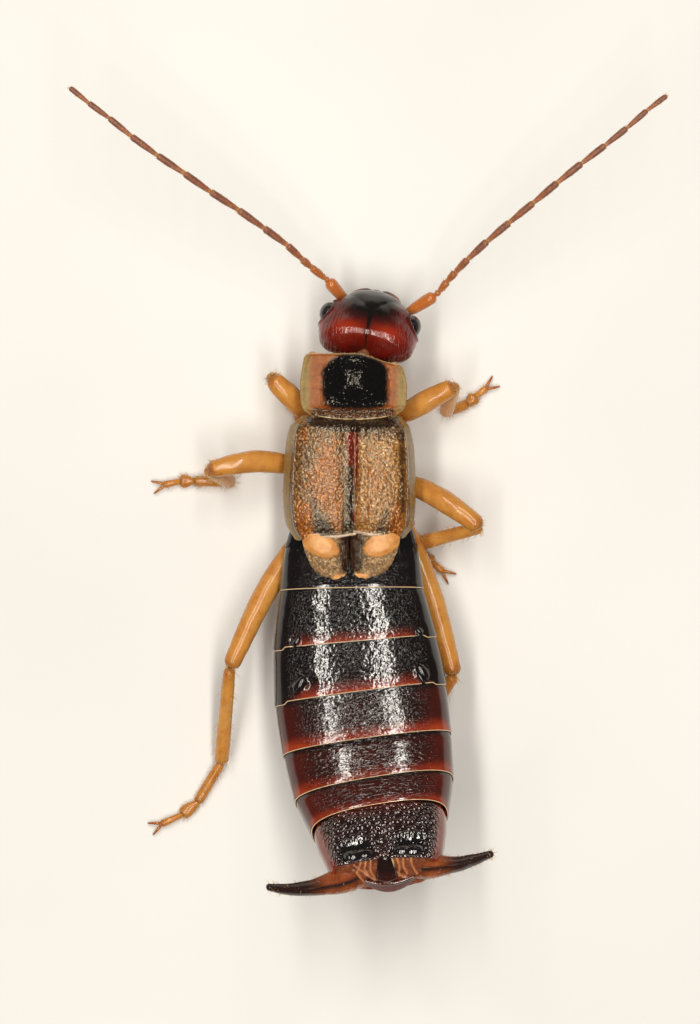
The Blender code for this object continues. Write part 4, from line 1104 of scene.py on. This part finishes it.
def build_feelers():
    """Each feeler: thick amber base joint, its socket, and thirteen club-shaped joints."""
    grids = []
    for name, (scape, joints, heights) in FEELERS.items():
        share = eased(40)
        path = route(scape, share)
        length = length_of(path)
        wide = smooth(share, (0, 0.1, 0.35, 0.8, 1), (0.07, 0.085, 0.115, 0.13, 0.10)) * blunt(share, length, .06, .09)
        grid = limb(path, wide, None, 28)
        grids.append(grid)
        forms = [closed(grid, amber=1.0, dark=0.0, pale=0.25 * hump(share, 0.0, 0.12)[:, None])]
        direction = path[-1] - path[0]
        forms.append(collar(path[0] + unit(direction) * 0.02, direction, 0.10, 0.035))
        height = np.interp([joint[0] for joint in joints], *heights)
        places = np.column_stack([np.array(joints), height])
        places = np.vstack([path[-1], places])
        for i, (a, b) in enumerate(zip(places, places[1:])):
            share = eased(22)
            line = a + (b - a) * (share[:, None] * 1.03 - 0.015)
            size = 0.068 if i == 0 else smooth(i, (1, 3, 8, 12), (0.078, 0.076, 0.072, 0.056))
            wide = size * smooth(share, (0, 0.18, 0.6, 0.88, 1), (0.62, 0.76, 1.0, 1.0, 0.84))
            wide = wide * blunt(share, length_of(line), 0.02, 0.05)
            grid = limb(line, wide, None, 20)
            grid = grid + unit(grid - line[:, None]) * (0.0015 * wobble(grid, 0.08, i))[..., None]
            if i:
                grids.append(grid)
            amber = max(0.0, 0.9 - 0.25 * i)
            forms.append(closed(grid, amber=amber, dark=hump(share, 0.75, 0.3)[:, None],
                                pale=0.45 * hump(share, 0.02, 0.08)[:, None] + 0.25 * hump(share, 1, 0.04)[:, None]))
        piece(f"feeler_{name}", forms, FEELER, "feeler", f"antenna_{name}_scape", f"antenna_{name}_near",
              f"antenna_{name}_far")
    return grids


# Shield behind the head

PRONOTUM_MIDDLE = (-0.28, -2.08, 2.18)
PRONOTUM_HALF = (1.045, 0.66)


def pronotum():
    """The shield: a domed black disc, thin margins, and a grainy band along the rear."""
    v = np.concatenate([-1 + 0.12 * eased(12)[:-1], np.linspace(-0.88, 0.86, 64), 1 - 0.14 * (1 - eased(16)[1:])])[:, None]
    u = np.concatenate([-1 + 0.1 * eased(12)[:-1], np.linspace(-0.9, 0.9, 90), 1 - 0.1 * (1 - eased(12)[1:])])[None]
    right, back, up = PRONOTUM_MIDDLE
    width = smooth(v, (-1, -0.96, -0.85, -0.5, 0, 0.5, 0.72, 0.86, 0.95, 1.0),
                   (0.84, 0.90, 0.93, 0.97, 1.0, 0.985, 0.95, 0.88, 0.82, 0.76))
    x = u * width * PRONOTUM_HALF[0]
    y = v * PRONOTUM_HALF[1]
    y = y + step(v, 0.3, 1.0) * (0.03 - 0.10 * u ** 2) + (1 - step(v, -1.0, 0.1)) * 0.22 * step(x, 0.0, 0.95)
    disc_x = x - 0.035
    disc_y = y + 0.13
    reach = 0.66 * (1 - 0.30 * step(-disc_y, 0.15, 0.62))
    square = mixed(3.0, 6.0, step(disc_y, -0.15, 0.25))
    away = (np.abs(disc_x / reach) ** square + np.abs(disc_y / 0.58) ** square) ** (1 / square)
    dome = np.clip(1 - away / 1.12, 0, 1)
    dome = dome * dome * (3 - 2 * dome)
    z = 0.04 + 0.24 * dome + 0.06 * (1 - (x / 1.05) ** 2)
    z = z + 0.035 * step(np.abs(u), 0.88, 1.0) - 0.05 * step(np.abs(v), 0.93, 1.0)
    z = z - 0.014 * hump(disc_x, 0, 0.03) * dome - 0.05 * hump(v, 0.72, 0.10) * (1 - 0.5 * u ** 2)
    grid = vectors(right + x, back + y, up + z)
    grid[..., 2] += 0.008 * wobble(grid, 0.35, 5) + 0.004 * wobble(grid, 0.12, 6)
    black = 1 - step(away, 0.78, 1.22)
    band = 1 - step(np.abs(x), 0.74, 1.02) + 0 * v
    rear = step(v, 0.60, 0.74) * (1 - step(np.abs(x), 0.72, 0.95))
    grain = np.clip(0.12 + 0.9 * rear + 0.2 * black, 0, 1)
    rim = np.maximum(0.35 * step(-v, 0.965, 1.0), 0.08 * step(np.abs(u), 0.97, 1.0))
    # the line just in front of the rear edge is partly the pale margin and partly a painted highlight, standing for the
    # glint along that edge
    rim = np.maximum(rim, step(v, 0.925, 0.94) * (1 - step(v, 0.955, 0.97)) * (1 - step(np.abs(x), 0.55, 0.85)))
    return grid, plate(grid, 0.06 + 0.12 * dome, np.array((right, back, up - 0.6)), black=black, band=band, rear=rear,
                       grain=grain, rim=rim + 0 * x)


# Wing cases and folded wing tips

SEAM = -0.25
CASE_HEIGHT = 1.57
CASE_STATIONS = {
    "left": ((-1.50, -1.26, -0.70, 0.10, 0.62, 0.94),
             ((1.06, 0.80), (1.32, 0.86), (1.41, 0.90), (1.45, 0.90), (1.40, 0.88), (1.22, 0.84))),
    "right": ((-1.48, -1.26, -0.70, 0.10, 0.66, 0.90),
              ((0.92, 0.80), (1.10, 0.86), (1.20, 0.90), (1.22, 0.90), (1.18, 0.88), (1.02, 0.84))),
}
CASE_ACROSS = (0, 0.30, 0.55, 0.72, 0.82, 0.868, 0.905, 0.96, 0.99, 1.0, 0.99, 0.96)
CASE_OVER = (1.0, 1.0, 0.975, 0.93, 0.875, 0.83, 0.72, 0.50, 0.28, 0.08, -0.12, -0.32)


def spot(x, y, corners, soft):
    """1 inside a convex outline and 0 outside it, with a soft edge."""
    inside = np.full(np.broadcast(x, y).shape, 1e9)
    corners = np.asarray(corners, float)
    area = np.sum(corners[:, 0] * np.roll(corners[:, 1], -1) - np.roll(corners[:, 0], -1) * corners[:, 1])
    for a, b in zip(corners, np.roll(corners, -1, 0)):
        away = ((b[0] - a[0]) * (y - a[1]) - (b[1] - a[1]) * (x - a[0])) / math.hypot(*(b - a))
        inside = np.minimum(inside, away * np.sign(area))
    return step(inside, -soft, soft)


def wing_case(name, direction):
    """One wing case, with its pattern and a painted shadow under the shield: domed top, ridge and clear side wall."""
    knots, sizes = CASE_STATIONS[name]
    back = np.concatenate([knots[0] + 0.22 * eased(16)[:-1], np.linspace(knots[0] + 0.22, knots[-1] - 0.15, 70),
                           knots[-1] - 0.15 * (1 - eased(16)[1:])])[:, None]
    share = np.linspace(0, 1, 110)
    place = np.linspace(0, 1, len(CASE_ACROSS))
    across = np.interp(share, place, CASE_ACROSS)
    over = smooth(share, place, CASE_OVER)
    across = smooth(share, place, CASE_ACROSS)[None]
    over = over[None]
    size = smooth(back[:, 0], knots, sizes)
    half, rise = size[:, :1], size[:, 1:]
    x = 0.012 + across * (half - 0.012)
    wall = 1 - 0.62 * np.abs(2 * (back - knots[0]) / (knots[-1] - knots[0]) - 1) ** 3.5
    z = np.where(over < 0.72, 0.72 - (0.72 - over) * wall, over) * rise
    shoulder = 1 - step(back, knots[0], knots[0] + 0.3)
    z = z - 0.16 * shoulder ** 2 * np.maximum(over, 0)
    ridge = hump(across, 0.872, 0.014) * (over > 0.6)
    z = z + 0.022 * ridge * step(back, -1.3, -1.0) * (1 - step(back, 0.6, 0.9))
    z = z + 0.02 * hump(across, 0.0, 0.04) - 0.035 * hump(across, 0.12, 0.10) * (over > 0.9)
    z = z - 0.05 * step(back, 0.55, 0.95) * (over > 0) * over
    z = z + 0.022 * step(back, knots[-1] - 0.07, knots[-1] - 0.02) * (over > 0) * over
    y = back + 0 * x
    rear = step(back, knots[-1] - 0.5, knots[-1])
    y = y - 0.05 * rear * step(across, 0.3, 0.0) * (over > 0.9)
    y = y + rear * (0.07 * hump(share[None], 0.55, 0.3) - 0.02)
    right = SEAM + direction * x
    grid = vectors(right, y, CASE_HEIGHT + z)
    grid[..., 2] += 0.010 * wobble(grid, 0.5, 11 + direction) * (over > 0.5)
    r, b = grid[..., 0], grid[..., 1]
    top = step(over, 0.76, 0.86) + 0 * back
    olive = (1 - step(over, 0.70, 0.80)) * mixed(1.0, 0.75, step(back, 0.4, 0.9)) + 0 * back
    ridge_mark = np.clip(hump(across, 0.885, 0.035) * (over > 0.5) * step(back, -1.2, -0.8), 0, 1)
    marks = {"olive": olive, "ridge": ridge_mark * 0.9, "grain": 0.15 + 0.85 * top}
    if direction < 0:
        orange = spot(r, b, ((-0.92, -0.92), (-0.62, -0.98), (-0.54, -0.30), (-0.50, 0.10), (-0.54, 0.78),
                             (-0.66, 0.72), (-1.16, -0.08), (-1.16, -0.30)), 0.30)
        corner = spot(r, b, ((-1.42, 0.14), (-1.10, 0.32), (-1.02, 1.0), (-1.40, 1.0)), 0.20)
        shoulder_spot = 0.8 * spot(r, b, ((-1.32, -1.25), (-1.18, -1.22), (-1.2, -0.9), (-1.34, -0.9)), 0.12)
        dark = 0.9 * spot(r, b, ((-1.12, 0.20), (-0.70, 0.74), (-0.58, 1.05), (-1.08, 1.05)), 0.20)
        dark = np.maximum(dark, 0.9 * spot(r, b, ((-0.44, -0.55), (-0.25, -0.50), (-0.25, 1.0), (-0.52, 1.0)), 0.14))
        dark = np.maximum(dark, 0.45 * spot(r, b, ((-1.36, -1.1), (-0.98, -0.9), (-1.05, -0.5), (-1.40, -0.4)), 0.2))
        seam = 1.1 * spot(r, b, ((-0.46, -1.16), (-0.25, -1.16), (-0.25, -0.5), (-0.40, -0.5)), 0.07)
        marks["gold"] = 0.45 * top
    else:
        orange = 0.5 * spot(r, b, ((-0.10, -0.62), (0.42, -0.80), (0.46, 0.05), (0.05, 0.72), (-0.16, 0.85)), 0.30)
        corner = spot(r, b, ((0.46, 0.30), (0.70, 0.20), (0.72, 1.0), (0.42, 1.0)), 0.16)
        shoulder_spot = 0 * orange
        dark = 0.65 * spot(r, b, ((0.50, 0.06), (0.50, 1.05), (-0.06, 1.05)), 0.18)
        dark = np.maximum(dark, 0.6 * spot(r, b, ((0.60, -1.2), (0.80, -1.2), (0.80, 0.5), (0.62, 0.5)), 0.10))
        seam = 1.0 * spot(r, b, ((-0.25, -1.16), (-0.17, -1.1), (-0.19, -0.5), (-0.225, 0.9), (-0.25, 0.9)), 0.03)
        marks["gold"] = 0.95 * top * step(b, -1.35, -0.75)
    marks["orange"] = np.maximum(np.maximum(orange, corner), shoulder_spot) * top
    # painted shadow: a black band across the front of the cases where the shield's rear edge would shade them; it goes
    # into the dark mark
    shadow_end = -1.22 - 0.14 * ((r + 0.31) / 0.85) ** 2
    front_shadow = (1 - step(b - shadow_end, -0.04, 0.12)) * (1 - step(np.abs(r + 0.31), 0.80, 0.95))
    marks["dark"] = np.maximum(dark, 1.6 * front_shadow) * top
    marks["grain"] = marks["grain"] * (1 - 0.15 * front_shadow) * (1 - 0.3 * np.clip(seam, 0, 1))
    # painted highlight: a thin pale line along the rear edge, standing for the glint on it
    marks["line"] = step(back, knots[-1] - 0.032, knots[-1] - 0.016) * (1 - step(across, 0.45, 0.6)) * top
    marks["seam"] = seam
    return grid, plate(grid, 0.07, np.array((SEAM + direction * 0.5, -0.3, 1.2)), **marks)


TIP_HEIGHT = 2.19
TIPS = {
    "left": ((0.80, 1.06, 1.39, 1.60, 1.74, 1.80, 1.84),
             ((-0.372, -1.31), (-0.372, -1.29), (-0.372, -1.18), (-0.372, -1.06), (-0.372, -0.88), (-0.374, -0.74),
              (-0.38, -0.56))),
    "right": ((0.78, 1.00, 1.39, 1.58, 1.70, 1.77, 1.82),
              ((-0.352, 0.65), (-0.352, 0.64), (-0.352, 0.52), (-0.352, 0.40), (-0.352, 0.26), (-0.35, 0.12),
               (-0.345, -0.08))),
}


def wing_tip(name):
    """One folded hind wing tip."""
    knots, edges = TIPS[name]
    back = (knots[0] + (knots[-1] - knots[0]) * np.sin(np.linspace(0, math.pi / 2, 70)))[:, None]
    share = (0.5 - 0.5 * np.cos(np.pi * np.linspace(0, 1, 76)))[None]
    edge = smooth(back[:, 0], knots, edges)
    inner, outer = edge[:, :1], edge[:, 1:]
    right = mixed(inner, outer, share)
    late = (back - knots[0]) / (knots[-1] - knots[0])
    z = TIP_HEIGHT + 0.15 * np.sqrt(np.clip(1 - (2 * share - 1) ** 2 * 0.9, 0, 1)) - 0.13 * late ** 2
    oval_middle = (-0.96, 1.08) if name == "left" else (0.31, 1.06)
    outer_way = -1 if name == "left" else 1
    along = (right - oval_middle[0]) * outer_way
    tilt = 0.42
    major = along * math.cos(tilt) - (back - oval_middle[1]) * math.sin(tilt)
    minor = along * math.sin(tilt) + (back - oval_middle[1]) * math.cos(tilt)
    away = np.hypot(major / 0.41, minor / 0.235)
    z = z + 0.04 * (1 - step(away, 0.5, 1.2)) - 0.015 * hump(away, 1.15, 0.10)
    z = z - 0.06 * np.exp(-share / 0.10) * (1 - 0.6 * step(late, 0.75, 1.0))
    grid = vectors(right, back + 0.03 * (1 - (2 * share - 1) ** 2) * late ** 4, z)
    grid[..., 2] += (0.016 * wobble(grid, 0.14, 31) + 0.006 * wobble(grid, 0.06, 32)) * step(away, 1.0, 1.25)
    hollow = np.exp(-(share / (0.36 if name == "right" else 0.26)) ** 2) * (1 - step(late, 0.72, 0.90))
    # the rim mark is the orange-tan edge colour, lightened as a painted highlight
    marks = {"oval": 1 - step(away, 0.78, 1.14), "rim": step(late, 0.78, 0.90) * (1 - 0.8 * step(share, 0.30, 0.8)),
             "dark": np.clip(1.15 * hollow, 0, 1) * step(away, 0.9, 1.1),
             "grain": 0.12 + 0.88 * step(away, 0.95, 1.2),
             "flat": vectors(right * 0.9 * outer_way + back * 0.7, (back - right * outer_way) * 0.5, 0 * right)}
    return grid, plate(grid, 0.06, np.array((grid[..., 0].mean(), 1.3, 1.4)), **marks)


# Trunk underneath: back, right, up, half width, rise and sag at each place

PROTHORAX = ((-2.95, -2.80, -2.62, -2.40, -1.85, -1.40),
             ((-0.14, 1.50, 0.30, 0.22, 0.24), (-0.16, 1.52, 0.36, 0.26, 0.28), (-0.20, 1.54, 0.46, 0.32, 0.34),
              (-0.26, 1.55, 0.70, 0.44, 0.46), (-0.28, 1.51, 0.82, 0.50, 0.52), (-0.29, 1.51, 0.76, 0.46, 0.48)))
THORAX = ((-1.42, -1.0, -0.3, 0.35),
          ((-0.30, 1.49, 0.84, 0.46, 0.48), (-0.32, 1.49, 1.08, 0.48, 0.58), (-0.34, 1.49, 1.14, 0.48, 0.62),
           (-0.34, 1.50, 1.12, 0.44, 0.60)))


def trunk_place(table, back, angle, scale=1.0):
    """Places on one length of the trunk."""
    row = smooth(back, *table)
    angle = np.radians(angle)
    across = power(np.cos(angle), 2 / 2.3) * row[..., 2]
    raised = power(np.sin(angle), 2 / 2.3)
    raised = raised * np.where(raised > 0, row[..., 3], row[..., 4])
    return vectors(row[..., 0] + across * scale, back + 0 * across, row[..., 1] + raised * scale)


def trunk_length(table, rows=46, folds=0.0):
    """A closed length of the soft trunk."""
    low, high = table[0][0], table[0][-1]
    share = eased(rows)[:, None]
    back = low + (high - low) * share
    scale = blunt(share, high - low, 0.10, 0.10) * (1 + folds * np.sin(back * 38) * (1 - step(back, -2.7, -2.45)))
    angle = np.linspace(0, 360, 72, endpoint=False)[None]
    grid = trunk_place(table, back + 0 * angle, angle, scale)
    return closed(grid, dark=0.35 + 0.45 * (1 - step(back, -2.7, -2.4)) + 0 * angle)


def chest_plate(table, front, rear, width, seed):
    """One plate under the trunk."""
    share = np.linspace(0, 1, 30)[:, None]
    u = np.linspace(-1, 1, 44)[None]
    back = front + (rear - front) * share + 0.05 * u ** 2 * (share - 0.5)
    angle = 270 + u * width * (1 - 0.25 * hump(share, 0.0, 0.4))
    grid = trunk_place(table, back, angle, 1.035)
    grid[..., 2] -= 0.02 * hump(u, 0, 0.3) + 0 * share
    grid[..., 2] += 0.006 * wobble(grid, 0.3, seed)
    dark = 0.25 + 0.5 * step(np.abs(u), 0.82, 1.0) + 0.5 * step(share, 0.88, 1.0) + 0.3 * (1 - step(share, 0.0, 0.1))
    return plate(grid, 0.05, np.array((-0.3, (front + rear) / 2, 1.5)), dark=np.clip(dark, 0, 1), pale=0.0)


def build_trunk():
    piece("chest_front", trunk_length(PROTHORAX, folds=0.03), TRUNK, "amber_skin", "prothorax")
    piece("chest_rear", trunk_length(THORAX), TRUNK, "amber_skin", "thorax")
    plates = [chest_plate(PROTHORAX, -2.35, -1.50, 36, 1), chest_plate(THORAX, -1.30, -0.58, 40, 2),
              chest_plate(THORAX, -0.52, 0.25, 42, 3)]
    piece("chest_plates", plates, TRUNK, "amber_skin")
    grid, form = pronotum()
    piece("shield", form, SHIELD, "shield", "pronotum")
    grids = [grid]
    for name, direction in (("left", -1), ("right", 1)):
        grid, form = wing_case(name, direction)
        piece(f"wing_case_{name}", form, WING_CASE, "wing_case", f"tegmen_{name}")
        grids.append(grid)
        grid, form = wing_tip(name)
        piece(f"wing_tip_{name}", form, WING_TIP, "wing_tip", f"squama_{name}")
    return grids


# Legs

Leg = namedtuple("Leg", "root hip knee bow ankle foot")
LEGS = {
    "front_left": Leg((-0.72, -1.58, 1.15), (-1.13, -1.46, 0.92), (-1.95, -2.29, 1.42), (0.0, 0.0, 0.1),
                      (-1.58, -1.98, 0.30), ((-1.42, -1.60), (-1.31, -1.42), (-1.12, -1.14))),
    "front_right": Leg((0.14, -1.58, 1.15), (0.52, -1.43, 0.92), (1.75, -2.11, 1.55), (0.0, 0.0, 0.1),
                       (1.59, -1.58, 0.32), ((2.04, -1.76), (2.20, -1.92), (2.42, -2.08))),
    "middle_left": Leg((-0.92, -0.60, 1.0), (-1.36, -0.52, 0.84), (-3.21, -0.41, 1.50), (0.0, -0.12, 0.16),
                       (-2.76, -0.17, 0.30), ((-3.52, -0.20), (-3.80, -0.19), (-4.12, -0.12))),
    "middle_right": Leg((0.26, -0.44, 1.0), (0.72, -0.24, 0.84), (2.29, 0.74, 1.50), (0.04, -0.04, 0.12),
                        (0.93, 1.09, 0.30), ((1.20, 1.36), (1.32, 1.46), (1.54, 1.64))),
    "hind_left": Leg((-0.80, 0.10, 0.98), (-1.14, 0.62, 0.80), (-2.77, 3.57, 1.48), (-0.10, -0.04, 0.06),
                     (-2.95, 5.49, 0.30), ((-3.44, 6.31), (-3.76, 6.56), (-4.18, 6.75))),
    "hind_right": Leg((0.26, 0.10, 0.98), (0.74, 0.60, 0.80), (1.75, 3.72, 1.28), (0.06, 0.0, -0.04),
                      (0.76, 5.18, 0.30), ((0.76, 5.99), (0.80, 6.27), (0.92, 6.66))),
}
TOE_HEIGHT = 0.11


def segment(points, widths, depths, rows=34, sides=30, ends=(0.1, 0.1), **settings):
    """One joint of a leg: its grid and the shares of its length."""
    share = eased(rows)
    path = route(points, share)
    place = np.linspace(0, 1, len(widths))
    round_off = blunt(share, length_of(path), *ends)
    wide = smooth(share, place, widths) * round_off
    deep = smooth(share, place, depths) * round_off
    return limb(path, wide, deep, sides, **settings), share[:, None]


def build_leg(name, leg):
    """Hip, thigh, shin, three foot joints and claws of one leg. It returns the grids that carry bristles."""
    root, hip, knee, ankle = (np.array(place) for place in (leg.root, leg.hip, leg.knee, leg.ankle))
    grid, share = segment([root - (hip - root) * 0.2, hip + (hip - root) * 0.12], (0.27, 0.30, 0.25, 0.19),
                          (0.27, 0.28, 0.24, 0.18), ends=(0.15, 0.15))
    hips = [closed(grid, dark=0.5 * step(share, 0.75, 1), pale=0.0)]
    turn = unit(knee - hip)
    grid, share = segment([hip - turn * 0.10, hip + turn * 0.22], (0.18, 0.20, 0.17), (0.17, 0.19, 0.16), 20,
                          ends=(0.1, 0.1))
    hips.append(closed(grid, dark=0.3 * step(share, 0.6, 1), pale=0.2 * hump(share, 0, 0.2)))
    piece(f"hip_{name}", hips, AMBER, "amber_skin", f"coxa_{name}")
    arch = (hip + knee) / 2 + np.array(leg.bow)
    thigh, share = segment([hip + turn * 0.10, arch, knee], (0.15, 0.215, 0.225, 0.205, 0.165),
                           (0.14, 0.19, 0.20, 0.185, 0.155), 60, 36, (0.12, 0.14))
    thigh = thigh + unit(thigh - thigh.mean(1, keepdims=True)) * (0.006 * wobble(thigh, 0.4, 7))[..., None]
    piece(f"thigh_{name}", closed(thigh, dark=0.75 * hump(share, 1.0, 0.05) + 0.35 * hump(share, 0.0, 0.06),
                                  pale=0.12 * hump(share, 0.5, 0.3)), AMBER, "amber_skin", f"femur_{name}")
    shin, share = segment([knee, mixed(knee, ankle, 0.5) + np.array((0, 0, 0.02)), ankle],
                          (0.115, 0.135, 0.14, 0.15, 0.14), (0.11, 0.13, 0.135, 0.14, 0.13), 60, 30, (0.1, 0.08))
    piece(f"shin_{name}", closed(shin, dark=0.5 * hump(share, 0.0, 0.05) + 0.55 * hump(share, 1.0, 0.06),
                                 pale=0.15 * hump(share, 0.5, 0.3)), AMBER, "amber_skin", f"tibia_{name}")
    toes = [np.array((*leg.foot[0], TOE_HEIGHT + 0.02)), np.array((*leg.foot[1], TOE_HEIGHT)),
            np.array((*leg.foot[2], TOE_HEIGHT))]
    forms = []
    first, share = segment([ankle, mixed(ankle, toes[0], 0.5) + np.array((0, 0, -0.03)), toes[0]],
                           (0.085, 0.10, 0.105, 0.10), (0.085, 0.095, 0.10, 0.095), 34, 24, (0.05, 0.07))
    forms.append(closed(first, dark=0.5 * hump(share, 1.0, 0.10) + 0.2, pale=0.0))
    second, share = segment([toes[0] - (toes[1] - toes[0]) * 0.1, toes[1]], (0.06, 0.10, 0.135, 0.12),
                            (0.06, 0.085, 0.095, 0.09), 22, 24, (0.03, 0.06))
    forms.append(closed(second, dark=0.4 * hump(share, 1.0, 0.15) + 0.2, pale=0.0))
    lift = np.array((0, 0, 0.05))
    third, share = segment([toes[1] - (toes[2] - toes[1]) * 0.15, mixed(toes[1], toes[2], 0.5) + lift,
                            toes[2] + lift * 0.4], (0.05, 0.062, 0.068, 0.075), (0.05, 0.058, 0.062, 0.07), 30, 20,
                           (0.04, 0.05))
    forms.append(closed(third, dark=0.35 * hump(share, 1.0, 0.15) + 0.1, pale=0.0))
    direction = unit((toes[2] - toes[1]) * np.array((1, 1, 0)))
    aside = np.array((direction[1], -direction[0], 0.0))
    for turn in (-1, 1):
        start = toes[2] + lift * 0.2 + aside * 0.025 * turn
        way = direction * math.cos(0.42) + aside * math.sin(0.42) * turn
        points = [start, start + way * 0.12 + np.array((0, 0, 0.015)), start + way * 0.22 + np.array((0, 0, -0.03)),
                  start + way * 0.26 + np.array((0, 0, -0.085))]
        claw, share = segment(points, (0.034, 0.03, 0.022, 0.010), (0.036, 0.032, 0.024, 0.010), 22, 12,
                              (0.03, 0.02))
        claw[..., 2] = np.maximum(claw[..., 2], 0.002)
        forms.append(closed(claw, dark=0.3 + 0.7 * share, pale=0.0))
    piece(f"foot_{name}", forms, AMBER, "amber_skin", f"tarsus_{name}")
    return [(thigh, 26, 0.10), (thigh[-16:], 30, 0.09), (shin, 90, 0.15), (shin[:12], 16, 0.08), (first, 60, 0.12),
            (second, 30, 0.10), (third, 22, 0.09)]


# Bristles

def bristles(name, hosts, node_slot="hair"):
    """Thin tapering bristles on grids of places: grid, count, length, whether it goes round, lean and a mask."""
    points, quads, tris, uvs = [], [], [], []
    start = 0
    cells = math.ceil(math.sqrt(len(hosts)))
    for number, host in enumerate(hosts):
        grid, count, length, middle, lean, mask = host
        rows, cols = grid.shape[:2]
        if middle is None:
            normal = unit(grid - grid.mean(1, keepdims=True))
            low, high = 2, rows - 2
        else:
            normal = facing(grid, middle)
            low, high = 1, rows - 1
        along = unit(np.gradient(grid, axis=0))
        i = RANDOM.integers(low, high, count)
        j = RANDOM.integers(0, cols, count)
        if mask is not None:
            keep = mask[i, j] > RANDOM.random(count)
            i, j = i[keep], j[keep]
        root = grid[i, j] - normal[i, j] * 0.012
        out = unit(normal[i, j] * (1 - lean) + along[i, j] * lean + RANDOM.normal(0, 0.12, (len(i), 3)))
        size = length * RANDOM.uniform(0.6, 1.25, len(i))[:, None]
        tip = root + out * size + along[i, j] * size * 0.25
        middle_place = root + out * size * 0.5
        tip[:, 2] = np.maximum(tip[:, 2], 0.004)
        middle_place[:, 2] = np.maximum(middle_place[:, 2], 0.006)
        side = unit(np.cross(out, RANDOM.normal(size=(len(i), 3))))
        over = np.cross(side, out)
        for n in range(len(i)):
            radius = 0.0065 * (0.8 + 0.4 * (size[n, 0] / length - 0.6))
            ring = [side[n] * math.cos(a) + over[n] * math.sin(a) for a in (0, math.tau / 3, 2 * math.tau / 3)]
            points += [root[n] + r * radius for r in ring] + [middle_place[n] + r * radius * 0.7 for r in ring]
            points.append(tip[n])
            for a, b in ((0, 1), (1, 2), (2, 0)):
                quads.append((start + a, start + b, start + 3 + b, start + 3 + a))
                tris.append((start + 3 + a, start + 3 + b, start + 6))
            tris.append((start + 2, start + 1, start))
            u = (number % cells + 0.05 + 0.9 * j[n] / cols) / cells
            v = (number // cells + 0.05 + 0.9 * i[n] / rows) / cells
            uvs.append((u, v))
            start += 7
    form = Form(np.array(points), np.array(quads), np.array(tris), {})
    thing = piece(name, outward(form), HAIR, node_slot)
    layer = thing.data.uv_layers.new(name="OFBake")
    vertex = np.zeros(len(thing.data.loops), int)
    thing.data.loops.foreach_get("vertex_index", vertex)
    corner = np.array(((0, 0), (1, 0), (0.5, 1), (0, 0.4), (1, 0.4), (0.5, 1), (0.5, 0.7))) * 0.003
    place = np.array(uvs)[vertex // 7] + corner[vertex % 7]
    layer.data.foreach_set("uv", place.astype(np.float32).ravel())
    return thing


def build_all():
    build_abdomen()
    arms = build_tail()
    build_head()
    feelers = build_feelers()
    covers = build_trunk()
    leg_hosts = []
    for name, leg in LEGS.items():
        for grid, count, length in build_leg(name, leg):
            leg_hosts.append((grid, count, length, None, 0.45, None))
    bristles("bristles_legs", leg_hosts)
    bristles("down_feelers", [(grid, 46, 0.05, None, 0.55, None) for grid in feelers])
    hosts = [(arms[side], 90, 0.10, None, 0.4, None) for side in arms]
    shield = covers[0]
    rim = np.zeros(shield.shape[:2])
    rim[:, :4] = 1
    rim[:, -4:] = 1
    rim[:4] = 0.8
    hosts.append((shield, 2200, 0.07, np.array((-0.28, -2.08, 1.5)), 0.2, rim))
    for case in covers[1:]:
        hosts.append((case, 60, 0.06, np.array((-0.3, -0.3, 1.0)), 0.5, None))
    bristles("bristles_body", hosts)


build_all()


# Floor, light and camera

def build_stage():
    floor_mesh = bpy.data.meshes.new("floor")
    half = 0.6
    floor_mesh.from_pydata([(-half, -half, 0), (half, -half, 0), (half, half, 0), (-half, half, 0)], [], [(0, 1, 2, 3)])
    floor = bpy.data.objects.new("floor", floor_mesh)
    bpy.context.scene.collection.objects.link(floor)
    paper = Coat("floor_paper", Roughness=0.75)
    tone = paper.ramp(paper.noise(14, 3), (0.3, ink(176, 175, 173)), (0.7, ink(184, 183, 181)))
    paper.set(Base_Color=tone)
    floor_mesh.materials.append(paper.material)
    world = bpy.data.worlds.new("studio")
    world.use_nodes = True
    world.node_tree.nodes["Background"].inputs["Color"].default_value = (1.0, 0.98, 0.95, 1.0)
    world.node_tree.nodes["Background"].inputs["Strength"].default_value = 0.06
    bpy.context.scene.world = world


def strip(name, right, width, power_watts):
    """A long soft light over the animal, parallel to it and turned toward it."""
    data = bpy.data.lights.new(name, "AREA")
    data.shape = "RECTANGLE"
    data.size, data.size_y = width * MM, STRIP_LENGTH * MM
    data.energy = power_watts
    data.color = (1.0, 0.95, 0.87)
    light = bpy.data.objects.new(name, data)
    bpy.context.scene.collection.objects.link(light)
    light.location = metres(np.array((right, STRIP_MIDDLE, STRIP_HEIGHT))).tolist()
    light.rotation_euler = (0, math.atan2(-right, STRIP_HEIGHT), 0)


build_stage()
STRIP_LENGTH = 190
STRIP_MIDDLE = -14
STRIP_HEIGHT = 142
strip("strip_left", -39, 14, 0.135)
strip("strip_right", 20, 16, 0.155)

VIEW_DISTANCE = 200
VIEW_HEIGHT = 20.48
camera_data = bpy.data.cameras.new("camera")
camera = bpy.data.objects.new("camera", camera_data)
bpy.context.scene.collection.objects.link(camera)
camera_data.sensor_width = 36
camera_data.lens = camera_data.sensor_width * VIEW_DISTANCE / VIEW_HEIGHT
camera_data.clip_start = 0.01
camera_data.clip_end = 2
camera.location = (0.35 * MM, 0.43 * MM, (2.5 + VIEW_DISTANCE) * MM)
camera.rotation_euler = (0, 0, math.pi)
bpy.context.scene.camera = camera
bpy.context.scene.view_settings.view_transform = "Standard"
